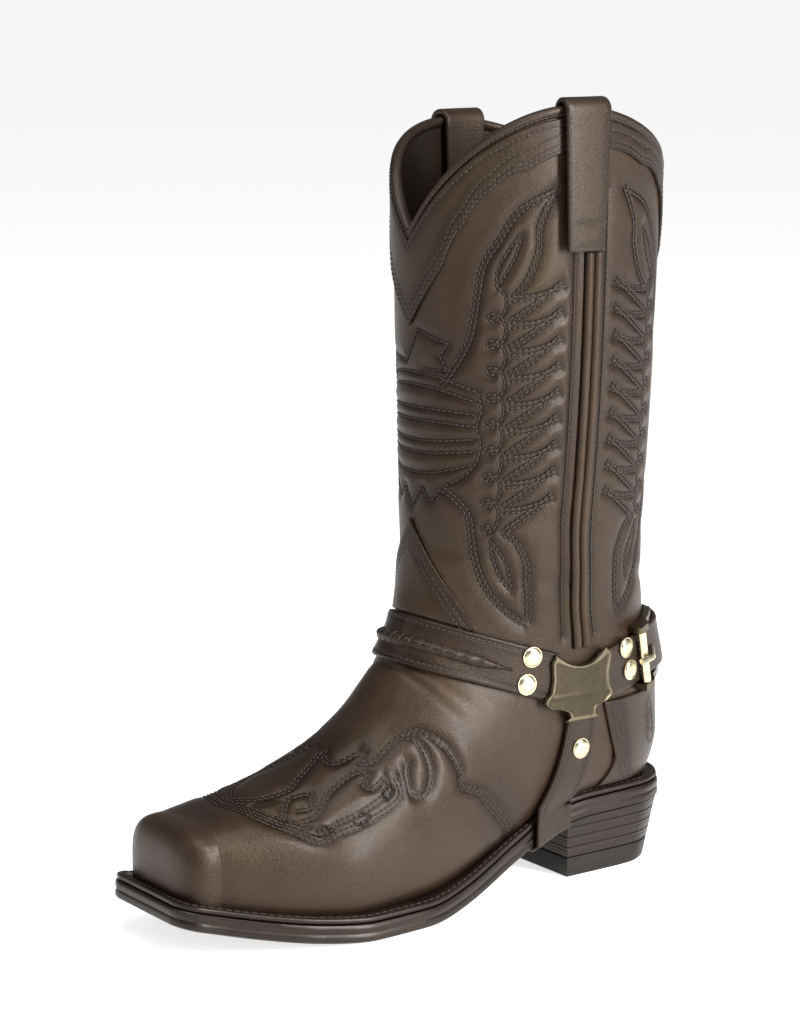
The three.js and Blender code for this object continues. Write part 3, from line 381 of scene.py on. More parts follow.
class Wire:
    """A value in a material: a node's output, with arithmetic that adds Math nodes."""

    def __init__(self, paint: "Paint", socket: bpy.types.NodeSocket) -> None:
        """Wraps a socket of a material."""
        self.paint = paint
        self.socket = socket

    def _math(self, operation: str, first: "Wire | float", second: "Wire | float") -> "Wire":
        """One Math node on two values."""
        return self.paint.node("Math", {"operation": operation}, {0: first, 1: second})

    def __add__(self, other: "Wire | float") -> "Wire":
        """The sum of two values."""
        return self._math("ADD", self, other)

    __radd__ = __add__

    def __mul__(self, other: "Wire | float") -> "Wire":
        """The product of two values."""
        return self._math("MULTIPLY", self, other)

    __rmul__ = __mul__

    def __sub__(self, other: "Wire | float") -> "Wire":
        """This value less another."""
        return self._math("SUBTRACT", self, other)

    def __rsub__(self, other: "Wire | float") -> "Wire":
        """Another value less this one."""
        return self._math("SUBTRACT", other, self)

    def above(self, low: float, high: float) -> "Wire":
        """This value spread from 0 at low to 1 at high, and held there."""
        settings = {"clamp": True}
        return self.paint.node("MapRange", settings, {"Value": self, "From Min": low, "From Max": high})


class Paint:
    """A material's node tree, built from a Principled shader."""

    def __init__(self, name: str) -> None:
        """Starts an empty material."""
        self.material = bpy.data.materials.new(name)
        self.material.use_nodes = True
        self.tree = self.material.node_tree
        self.shader = self.tree.nodes["Principled BSDF"]

    def node(self, kind: str, settings: dict, inputs: dict, output: int | str = 0) -> Wire:
        """Adds a shader node.

        Args:
            kind: the node's type without its prefix.
            settings: the node's own properties.
            inputs: values or wires by input name or number.
            output: which output to give back.

        Returns:
            The wanted output.
        """
        made = self.tree.nodes.new("ShaderNode" + kind)
        for key, value in settings.items():
            setattr(made, key, value)
        for key, value in inputs.items():
            if isinstance(value, Wire):
                self.tree.links.new(value.socket, made.inputs[key])
            else:
                made.inputs[key].default_value = value
        return Wire(self, made.outputs[output])

    def place(self) -> Wire:
        """Object coordinates."""
        return self.node("TexCoord", {}, {}, "Object")

    def attribute(self, name: str) -> Wire:
        """A number painted on the mesh."""
        return self.node("Attribute", {"attribute_name": name}, {}, "Fac")

    def noise(self, scale: float, detail: float = 3.0, rough: float = 0.55) -> Wire:
        """Cloudy noise at a scale in features per metre."""
        inputs = {"Vector": self.place(), "Scale": scale, "Detail": detail, "Roughness": rough}
        return self.node("TexNoise", {}, inputs)

    def colours(self, factor: Wire | float, first: tuple | Wire, second: tuple | Wire) -> Wire:
        """A mix of two colours."""
        both = {6: self.solid(first), 7: self.solid(second)}
        return self.node("Mix", {"data_type": "RGBA"}, {0: factor, **both}, 2)

    @staticmethod
    def solid(colour: tuple | Wire) -> tuple | Wire:
        """A colour with its alpha, or a wire as it is."""
        return colour if isinstance(colour, Wire) else (*colour, 1.0)

    def set(self, **values: Wire | float | tuple) -> None:
        """Sets or links the shader's sockets, named with underscores for spaces."""
        for key, value in values.items():
            socket = self.shader.inputs[key.replace("_", " ")]
            if isinstance(value, Wire):
                self.tree.links.new(value.socket, socket)
            else:
                socket.default_value = (*value, 1.0) if isinstance(value, tuple) else value

    def bump(self, height: Wire, distance: float) -> None:
        """Puts a height into the shader's normal, in metres."""
        self.set(Normal=self.node("Bump", {}, {"Height": height, "Distance": distance, "Strength": 1.0}))


@dataclass(frozen=True)
class Leather:
    """Waxed leather, with painted shade in its grooves and a paler, warmer painted highlight where it stands
    up.
    """

    name: str
    dark: tuple[float, float, float]
    middle: tuple[float, float, float]
    # The colour of the painted highlight
    pale: tuple[float, float, float]
    tint: tuple[float, float, float]
    roughness: float = 0.34
    coat: float = 0.12
    grain: float = 0.00012

    def material(self) -> bpy.types.Material:
        """Builds the leather's material."""
        paint = Paint(self.name)
        # Painted shade in grooves, creases and the wall's inside, read from the mesh
        groove = paint.attribute("groove")
        # Painted highlight on the raised places, read from the mesh
        painted_highlight = paint.attribute("painted_highlight")
        cloud = paint.noise(17.0, 4.0, 0.6)
        streak = paint.noise(55.0, 5.0, 0.65)
        fine = paint.noise(420.0, 4.0, 0.6)
        body = paint.colours((0.55 * cloud + 0.45 * streak).above(0.36, 0.64), self.dark, self.middle)
        olive = paint.noise(23.0, 2.0, 0.5).above(0.5, 0.72)
        tinted = paint.colours(olive * 0.7, body, self.tint)
        # Painted highlight: paler and warmer where the leather stands up
        highlighted = paint.colours((painted_highlight * (0.45 + 0.8 * streak)).above(0.1, 0.95), tinted, self.pale)
        # Painted shade: the grooves go towards a deep dark
        deep = tuple(0.3 * channel for channel in self.dark)
        speckled = paint.colours(fine.above(0.52, 0.78) * 0.35, highlighted, self.dark)
        paint.set(Base_Color=paint.colours(groove.above(0.1, 1.0) * 0.7, speckled, deep))
        paint.set(Roughness=self.roughness + 0.16 * streak + 0.12 * groove)
        paint.set(Coat_Weight=self.coat, Coat_Roughness=0.25, Specular_IOR_Level=0.27)
        paint.set(Specular_Tint=(1.0, 0.8, 0.62))
        scale = {"Vector": paint.place(), "Scale": 900.0}
        cells = paint.node("TexVoronoi", {"feature": "DISTANCE_TO_EDGE"}, scale)
        grain = 0.6 * cells.above(0.0, 0.25) + 0.8 * fine + 1.4 * paint.noise(130.0, 3.0)
        paint.bump(grain - 3.0 * groove, self.grain)
        return paint.material


@dataclass(frozen=True)
class Metal:
    """Cast or stamped metal, darker in its low places."""

    name: str
    bright: tuple[float, float, float]
    dark: tuple[float, float, float]
    roughness: float

    def material(self) -> bpy.types.Material:
        """Builds the metal's material."""
        paint = Paint(self.name)
        wear_and_painted_light = paint.noise(160.0, 5.0, 0.65)
        groove = paint.attribute("groove")
        tone = paint.colours(wear_and_painted_light.above(0.2, 0.75), self.dark, self.bright)
        paint.set(Base_Color=paint.colours(groove * 0.9, tone, tuple(0.25 * c for c in self.dark)))
        paint.set(Metallic=1.0, Roughness=self.roughness + 0.2 * wear_and_painted_light)
        paint.bump(paint.noise(900.0, 4.0), 0.00006)
        return paint.material


@dataclass(frozen=True)
class Edge:
    """Layered sole leather or rubber, with fine lines along its layers."""

    name: str
    dark: tuple[float, float, float]
    pale: tuple[float, float, float]
    roughness: float
    layers: float

    def material(self) -> bpy.types.Material:
        """Builds the edge's material."""
        paint = Paint(self.name)
        apart = paint.node("SeparateXYZ", {}, {"Vector": paint.place()}, "Z")
        wave = paint.node("Math", {"operation": "SINE"}, {0: apart * (2000 * math.pi / self.layers)})
        cloud = paint.noise(60.0, 4.0, 0.6)
        paint.set(Base_Color=paint.colours(cloud.above(0.35, 0.7), self.dark, self.pale))
        paint.set(Roughness=self.roughness + 0.2 * paint.noise(200.0), Coat_Weight=0.12, Coat_Roughness=0.2)
        paint.set(Specular_IOR_Level=0.3, Specular_Tint=(1.0, 0.86, 0.74))
        paint.bump(wave.above(-1.0, -0.7) + 0.4 * paint.noise(500.0), 0.00018)
        return paint.material


@dataclass(frozen=True)
class Thread:
    """Twisted sewing thread."""

    name: str
    colour: tuple[float, float, float]

    def material(self) -> bpy.types.Material:
        """Builds the thread's material."""
        paint = Paint(self.name)
        shade = tuple(0.45 * channel for channel in self.colour)
        paint.set(Base_Color=paint.colours(paint.noise(1500.0, 2.0), shade, self.colour))
        paint.set(Roughness=0.6)
        paint.bump(paint.noise(2500.0, 2.0), 0.00008)
        return paint.material


class Finish(Enum):
    """The boot's finishes."""

    SHAFT = Leather(
        "shaft_leather", dark=(0.0045, 0.0018, 0.0010), middle=(0.0150, 0.0064, 0.0033),
        pale=(0.036, 0.0205, 0.0120), tint=(0.020, 0.0122, 0.0030),
    )
    STRAP = Leather(
        "strap_leather", dark=(0.0045, 0.0021, 0.0014), middle=(0.011, 0.0054, 0.0034),
        pale=(0.024, 0.0140, 0.0088), tint=(0.013, 0.0075, 0.0028), roughness=0.32, coat=0.15,
    )
    LINING = Leather(
        "lining_leather", dark=(0.006, 0.0055, 0.004), middle=(0.012, 0.011, 0.008),
        pale=(0.02, 0.018, 0.013), tint=(0.01, 0.0095, 0.006), roughness=0.6, coat=0.0,
    )
    SOLE = Edge("sole_edge", (0.003, 0.0016, 0.0011), (0.0075, 0.004, 0.0027), 0.3, 40.0)
    WELT = Edge("welt_leather", (0.0035, 0.0018, 0.0012), (0.009, 0.0048, 0.0032), 0.34, 40.0)
    STACK = Edge("heel_stack", (0.003, 0.0016, 0.0011), (0.007, 0.0038, 0.0026), 0.3, 5.2)
    RUBBER = Edge("heel_rubber", (0.002, 0.002, 0.002), (0.004, 0.0038, 0.0038), 0.5, 40.0)
    PLATE = Metal("aged_plate", (0.17, 0.14, 0.095), (0.09, 0.072, 0.047), 0.26)
    BRASS = Metal("pale_brass", (0.72, 0.64, 0.46), (0.45, 0.39, 0.26), 0.16)
    THREAD = Thread("brown_thread", (0.028, 0.0145, 0.0085))


MATERIALS: dict[str, bpy.types.Material] = {}


def dress(piece: bpy.types.Object, finish: Finish) -> None:
    """Gives a piece its finish."""
    if finish.name not in MATERIALS:
        MATERIALS[finish.name] = finish.value.material()
    piece.data.materials.clear()
    piece.data.materials.append(MATERIALS[finish.name])


def add_piece(name: str, points: np.ndarray, faces: list, finish: Finish, nodes: Sequence[str] = (),
              paint: dict[str, np.ndarray] | None = None, angle: float = 50.0) -> None:
    """Makes a mesh piece that rides on the boot.

    Args:
        name: the piece's name.
        points: its points in millimetres.
        faces: its faces as point numbers.
        finish: what it is made of.
        nodes: the solids that it stands for.
        paint: numbers painted on its points, by name.
        angle: the steepest edge in degrees that is shaded smooth.
    """
    mesh = bpy.data.meshes.new(name)
    mesh.from_pydata((np.asarray(points).reshape(-1, 3) * MILLIMETRE).tolist(), [], faces)
    for label in ("groove", "painted_highlight"):
        values = (paint or {}).get(label)
        layer = mesh.attributes.new(label, "FLOAT", "POINT")
        if values is not None:
            layer.data.foreach_set("value", np.ascontiguousarray(values, np.float32).ravel())
    work = bmesh.new()
    work.from_mesh(mesh)
    bmesh.ops.remove_doubles(work, verts=work.verts, dist=MERGE_DISTANCE)
    bmesh.ops.recalc_face_normals(work, faces=work.faces)
    work.to_mesh(mesh)
    work.free()
    piece = bpy.data.objects.new(name, mesh)
    bpy.context.scene.collection.objects.link(piece)
    finish_piece(piece, finish, nodes, angle)


def finish_piece(piece: bpy.types.Object, finish: Finish, nodes: Sequence[str], angle: float) -> None:
    """Shades, dresses and mounts a piece."""
    bpy.ops.object.select_all(action="DESELECT")
    piece.select_set(True)
    bpy.context.view_layer.objects.active = piece
    bpy.ops.object.shade_smooth_by_angle(angle=math.radians(angle))
    dress(piece, finish)
    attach(piece, "root")
    if nodes:
        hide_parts(*nodes)
    log.info("%s: %d faces", piece.name, len(piece.data.polygons))


def quads(rows: int, columns: int, round_rows: bool, round_columns: bool) -> list:
    """The faces of a grid of points, closed along its rows or columns where asked."""
    i = np.arange(rows if round_rows else rows - 1)[:, None]
    j = np.arange(columns if round_columns else columns - 1)[None, :]
    up, over = (i + 1) % rows, (j + 1) % columns
    corners = [i * columns + j, i * columns + over, up * columns + over, up * columns + j]
    return np.stack([np.broadcast_to(c, (i.size, j.size)) for c in corners], -1).reshape(-1, 4).tolist()


def loft(rings: int, size: int) -> list:
    """The faces of a surface through closed rings, with both of its ends closed."""
    first, last = list(range(size)), list(range((rings - 1) * size, rings * size))
    return [*quads(rings, size, False, True), first, last]


def sweep(place: Place, section: np.ndarray, along: int, offsets: Callable | None = None,
          rounding: float = 0.012, closed: bool = False) -> tuple[np.ndarray, list]:
    """Points and faces of a strip that lies on the boot, its section swept along it.

    Args:
        place: gives rows and turns for shares along and across the strip.
        section: its section's loop, shares across and offsets from the surface.
        along: how many steps it has.
        offsets: gives an extra offset for shares along and across.
        rounding: the share of its length over which its ends are rounded.
        closed: whether it closes on itself.

    Returns:
        The points in rows of one section, and the faces.
    """
    s = np.linspace(0, 1, along, endpoint=False) if closed else np.linspace(0, 1, along + 1)
    if not closed:
        close = rounding * np.array([0.15, 0.5])
        s = np.unique(np.concatenate([s, close, 1 - close]))
    grid_s, grid_v = np.meshgrid(s, section[:, 0], indexing="ij")
    offset = np.broadcast_to(section[:, 1], grid_s.shape).copy()
    if not closed:
        near = np.clip(np.minimum(grid_s, 1 - grid_s) / rounding, 0, 1)
        middle = (section[:, 1].max() + section[:, 1].min()) / 2
        offset = middle + (offset - middle) * (0.45 + 0.55 * np.sqrt(1 - (1 - near) ** 2))
    if offsets is not None:
        offset = offset + offsets(grid_s, grid_v)
    row, turn = place(grid_s, grid_v)
    points = LAST.off(row, turn, offset)
    size = len(section)
    return points, quads(len(s), size, True, True) if closed else loft(len(s), size)


def strap_section(low: float, high: float, crown: float = 0.0, steps: int = 12,
                  edge: float = 0.03) -> np.ndarray:
    """A strap's section: a flat back, rounded edges and a face that may be crowned.

    Args:
        low: the offset of its back.
        high: the offset of its face.
        crown: how far its face stands up in the middle.
        steps: how many steps its face has.
        edge: the share of the width that each rounded edge takes.

    Returns:
        The loop of shares across and offsets.
    """
    middle = (low + high) / 2
    half = (high - low) / 2
    v = np.linspace(edge, 1 - edge, steps + 1)
    face = [(x, high + crown * math.sin(math.pi * x)) for x in v]
    angles = np.linspace(QUARTER, -QUARTER, 7)[1:-1]
    far = [(1 - edge + edge * math.cos(a), middle + half * math.sin(a)) for a in angles]
    near = [(edge - edge * math.cos(a), middle + half * math.sin(a)) for a in angles[::-1]]
    back = [(x, low) for x in np.linspace(1 - edge, edge, 4)]
    return np.array([*face, *far, *back, *near])


@dataclass
class Sewing:
    """Lines of stitches on the boot, and how far each point of a piece is from them."""

    pitch: float = 2.9
    length: float = 2.2
    thick: float = 0.36
    marks: int = 4
    flat: float = 0.8
    droop: float = 0.3

    # Shares along a stitch and its girth there, the count of its sides, and a distance far from any stitch
    ALONG = (-1.0, -0.72, 0.72, 1.0)
    GIRTH = (0.35, 1.0, 1.0, 0.35)
    ROUND = 6
    FAR = 9.0

    def __post_init__(self) -> None:
        """Starts with no lines."""
        self.lines: list[np.ndarray] = []

    @staticmethod
    def smooth_line(controls: Sequence[tuple[float, float]], steps: int = 14) -> np.ndarray:
        """A smooth curve through control points."""
        p = np.array([controls[0], *controls, controls[-1]], float)
        s = np.linspace(0, 1, steps, endpoint=False)[:, None]
        corners = zip(p[:-3], p[1:-2], p[2:-1], p[3:])
        return np.concatenate([*(curve(b, c, (c - a) / 2, (d - b) / 2, s) for a, b, c, d in corners), p[-1:]])

    def keep(self, points: np.ndarray, normals: np.ndarray) -> None:
        """Keeps a line of points and the ways out of the surface there, marked evenly."""
        along = walked(points)
        count = max(int(along[-1] / (self.pitch / self.marks)), self.marks)
        self.lines.append(read_off(np.linspace(0, along[-1], count), along, np.hstack([points, normals])))

    def add(self, line: np.ndarray, offset: float = 0.0, beside: float = 0.0) -> None:
        """Adds a line of rows and turns at an offset from the surface, moved sideways by a distance."""
        points = LAST.off(line[:, 0], line[:, 1], np.full(len(line), offset))
        normals = LAST.normal(line[:, 0], line[:, 1])
        across = np.cross(normals, np.gradient(points, axis=0))
        size = np.maximum(np.linalg.norm(across, axis=1), 1e-6)
        self.keep(points + beside * across / size[:, None], normals)

    def on_shaft(self, controls: Sequence[tuple[float, float]], curved: bool = True,
                 beside: float = 0.0) -> None:
        """Adds a line on the shaft from turns in degrees and heights."""
        line = self.smooth_line(controls) if curved else np.array(controls, float)
        if not curved:
            steps = np.linspace(0, len(line) - 1, 12 * (len(line) - 1) + 1)
            line = read_off(steps, np.arange(len(line)), line)
        self.add(LAST.line_at(np.radians(line[:, 0]), line[:, 1]), 0.0, beside)

    def on_foot(self, controls: Sequence[tuple[float, float]], beside: float = 0.0) -> None:
        """Adds a curved line on the foot from rows and turns in degrees."""
        line = self.smooth_line(controls)
        self.add(np.stack([line[:, 0], np.radians(line[:, 1])], -1), 0.0, beside)

    def distance(self, points: np.ndarray) -> np.ndarray:
        """The distance of each point to the nearest line, in millimetres."""
        if not self.lines:
            return np.full(points.shape[:-1], self.FAR)
        marks = np.concatenate([line[:, :3] for line in self.lines])
        tree = KDTree(len(marks))
        for i, mark in enumerate(marks):
            tree.insert(mark, i)
        tree.balance()
        flat = points.reshape(-1, 3)
        return np.array([tree.find(p)[2] for p in flat]).reshape(points.shape[:-1])

    def wear_and_painted_light(self, points: np.ndarray, groove: float, painted_highlight: float, reach: float) -> dict[str, np.ndarray]:
        """The painted shade and painted highlight of a sewn overlay.

        Args:
            points: the overlay's points.
            groove: how dark the painted shade is beside its stitches.
            painted_highlight: how pale the painted highlight is away from them.
            reach: how far from the stitches the painted highlight is full.

        Returns:
            The painted numbers by name.
        """
        gap = self.distance(points)
        return {"groove": groove * near(gap, 0.9), "painted_highlight": painted_highlight * smooth((gap - 1) / reach)}

    def stitches(self, name: str, sunk: float) -> None:
        """Makes the stitches of all lines as one piece, sunk into the surface by a depth."""
        along = np.array(self.ALONG)[:, None, None]
        angle = np.linspace(0, 2 * math.pi, self.ROUND, endpoint=False)[None, :, None]
        girth = self.thick * np.array(self.GIRTH)[:, None, None]
        points = []
        for line in self.lines:
            for i in range(2, len(line) - 2, self.marks):
                out = line[i, 3:] / np.linalg.norm(line[i, 3:])
                way = line[i + 1, :3] - line[i - 1, :3]
                way = way / max(np.linalg.norm(way), 1e-6)
                ring = np.cross(out, way) * np.cos(angle) + out * np.sin(angle) * self.flat
                middle = line[i, :3] + way * along * self.length / 2 - out * (self.droop * along**2 + sunk)
                points.append(middle + ring * girth)
        one = loft(len(self.ALONG), self.ROUND)
        size = len(self.ALONG) * self.ROUND
        faces = [[size * stitch + corner for corner in face] for stitch in range(len(points)) for face in one]
        add_piece(name, np.array(points), faces, Finish.THREAD)


@dataclass
class ShaftOrnament:
    """The stitched flames and feathers of the shaft, as turns in degrees and heights in millimetres."""

    teeth: int = 9
    root: float = 56.0
    tip: float = 79.5
    first: float = 300.0
    pitch: float = 13.0

    # Heights of each row of the fan in its middle and at its ends
    FANS = ((262, 254), (256, 249), (245, 243), (239, 237), (229, 231), (223, 225), (213, 219))

    def lines(self) -> list[tuple[list[tuple[float, float]], int]]:
        """The double lines of one quarter of the shaft, each with the side its second row lies on."""
        outer = [(74.4, 350.6), (59, 342), (49, 327), (41.4, 313.6), (37, 287), (33, 275), (21.5, 258)]
        edge = [(74.4, 350.6), (67.7, 334.6), (66.9, 321), (62, 307.5), (self.root, self.first)]
        comb = []
        for i in range(self.teeth):
            height = self.first - i * self.pitch
            comb.append([(self.root, height), (self.root + 12, height + 1), (self.tip, height + 5)])
            point = (self.root + 10, height - 6)
            comb.append([(self.tip, height + 5), point, (self.root, height - self.pitch)])
        end = (self.root, self.first - self.teeth * self.pitch)
        foot = [end, (62, 178), (66.6, 167), (68, 152), (67.7, 138)]
        low = [(23, 207), (31.5, 202), (39, 194), (41.4, 182), (44, 170), (51, 155), (60, 144), (67.7, 138)]
        return [(outer, 1), (edge, 1), *((line, -1) for line in comb), (foot, 1), (low, -1)]

    def chain(self) -> list[tuple[float, float]]:
        """The single line that loops beside the teeth."""
        share = np.linspace(0, 1, 170)
        angle = share * 2 * math.pi * self.teeth
        turn = 49.5 + 4.2 * np.sin(angle)
        height = mix(self.first, self.first - self.teeth * self.pitch, share) + 4.6 * np.cos(angle)
        return list(zip(turn, height))

    def leaves(self) -> list[list[tuple[float, float]]]:
        """The leaves at both ends of the looping line."""
        top = [(49.5, 304), (50, 314), (60, 330), (57, 318), (49.5, 304)]
        low = [(50, 181), (52, 169), (60.5, 155), (58, 168), (50, 181)]
        return [top, low]

    def breast(self) -> list[tuple[list[tuple[float, float]], bool]]:
        """The fan, the head and the zigzag on the front of the shaft."""
        fans = []
        for middle, end in self.FANS:
            near_middle = mix(middle, end, 0.2)
            fan = [(-41, end), (-20, near_middle), (0, middle), (20, near_middle), (41, end)]
            fans.append((fan, True))
        head = [(-24.7, 268.6), (-4.5, 267), (4.5, 283), (24.7, 277), (20, 271), (24.7, 264), (8, 264)]
        zigzag = [(-23, 207), (-15, 199), (-8, 206), (0, 196), (8, 206), (15, 199), (23, 207)]
        border = [(41, 254), (43, 245), (41, 237), (43, 228), (41, 219), (34, 212), (23, 207)]
        mirrored = [(-turn, z) for turn, z in border]
        return [*fans, (head, False), (zigzag, False), (border, True), (mirrored, True)]


def lined(groove: np.ndarray, painted_highlight: np.ndarray, inner_rows: int) -> dict[str, np.ndarray]:
    """The paint of a wall: its outer skin's numbers, and an inside painted dark all over as shade."""
    blank = np.zeros((inner_rows, groove.shape[1]))
    return {"groove": np.concatenate([groove, blank + 1]), "painted_highlight": np.concatenate([painted_highlight, blank])}


def detail(count: int) -> int:
    return count


def sewn_depth(gap: np.ndarray, puff: float, reach: float) -> np.ndarray:
    """How deep the leather is drawn in by its stitches: a fine groove in a puffed hollow."""
    return 0.4 * near(gap, 0.75) + puff * near(gap, reach)


def sewn_groove(gap: np.ndarray, reach: float) -> np.ndarray:
    """How dark the painted shade is by its stitches."""
    return 0.8 * near(gap, 0.6) + 0.32 * near(gap, reach)


@dataclass
class Shaft:
    """The shaft's two panels with their stitched ornament."""

    columns: int = 240
    rows: int = 310
    inner_rows: int = 16
    double_row: float = 2.1
    back_mirror: float = 183.0
    seam_turn: float = 84.5
    thread_depth: float = 0.5

    # Soft troughs at the ankle: turn, height, half lengths round and up, and depth
    FRONT_CREASES = (
        (62, 160, 26, 5, 0.8), (-55, 165, 30, 5, 0.9), (30, 176, 22, 5, 0.7),
        (74, 190, 14, 7, 0.5), (-70, 186, 16, 7, 0.5),
    )
    BACK_CREASES = (
        (150, 150, 26, 5, 1.0), (-150, 158, 24, 5, 0.9), (175, 172, 30, 6, 0.8), (128, 165, 18, 6, 0.6),
    )

    def sewing(self, back: bool) -> Sewing:
        """The stitch lines of one panel."""
        sewing = Sewing()
        ornament = ShaftOrnament()
        for side in SIDES:
            start, way = (side * self.back_mirror, -side) if back else (0, side)
            for line, inward in ornament.lines():
                for beside in (0.0, self.double_row):
                    sewing.on_shaft([(start + way * t, z) for t, z in line], True, beside * inward * way)
            seam = [(self.seam_turn, z) for z in (128, 180, 240, 300, 350)]
            for line in [ornament.chain(), *ornament.leaves(), seam]:
                sewing.on_shaft([(start + way * t, z) for t, z in line])
        if not back:
            for line, curved in ornament.breast():
                sewing.on_shaft(line, curved)
        return sewing

    def creases(self, back: bool, turn: np.ndarray, height: np.ndarray) -> np.ndarray:
        """How deep the leather is creased at turns and heights."""
        depths = np.zeros(height.shape)
        for at_turn, at_z, half_turn, half_z, depth in self.BACK_CREASES if back else self.FRONT_CREASES:
            apart = turn - math.radians(at_turn)
            away = np.degrees(np.arctan2(np.sin(apart), np.cos(apart)))
            depths += depth * near(away, half_turn) * near(height - at_z + 0.12 * away, half_z)
        return depths

    def build(self, back: bool) -> None:
        """Builds one panel with its stitches."""
        sewing = self.sewing(back)
        columns, rows = detail(self.columns), detail(self.rows)
        start = QUARTER if back else -QUARTER
        turn = np.linspace(start, start + math.pi, columns)
        foot = LAST.point(LAST.row_on(turn, LAST.waist_level), turn)[:, 2]
        rim = LAST.collar(turn)
        share = np.linspace(0, 1, rows)[:, None]
        height = mix(foot[None, :], rim[None, :], share)
        grid = np.broadcast_to(turn, height.shape)
        row = LAST.row_at(grid, height)
        skin = LAST.point(row, grid)
        gap = sewing.distance(skin)
        crease = self.creases(back, grid, height)
        fade = smooth(share * 30) * smooth((1 - share) * 30)
        outer = LAST.off(row, grid, -(sewn_depth(gap, 0.8, 3.6) + crease) * fade)
        inner_share = np.linspace(1, 0, self.inner_rows)[:, None]
        inner_grid = np.broadcast_to(turn, (self.inner_rows, columns))
        inner_row = LAST.row_at(inner_grid, mix(foot[None, :], rim[None, :], inner_share))
        inner = LAST.off(inner_row, inner_grid, np.full(inner_grid.shape, -LAST.wall))
        total = rows + self.inner_rows
        first_edge = [i * columns for i in range(total)]
        last_edge = [i * columns + columns - 1 for i in range(total)]
        faces = [*quads(total, columns, True, False), first_edge, last_edge]
        # Painted highlight away from the stitches; painted shade beside them and in the creases
        painted_highlight = 0.4 * smooth((gap - 1) / 4) + 0.3 * smooth((gap - 6) / 12)
        paint = lined(sewn_groove(gap, 2.6) + 0.15 * crease, painted_highlight, self.inner_rows)
        name = "back" if back else "front"
        points = np.concatenate([outer, inner])
        add_piece("shaft_panel_" + name, points, faces, Finish.SHAFT, ("upper",), paint)
        sewing.stitches("shaft_stitches_" + name, self.thread_depth)


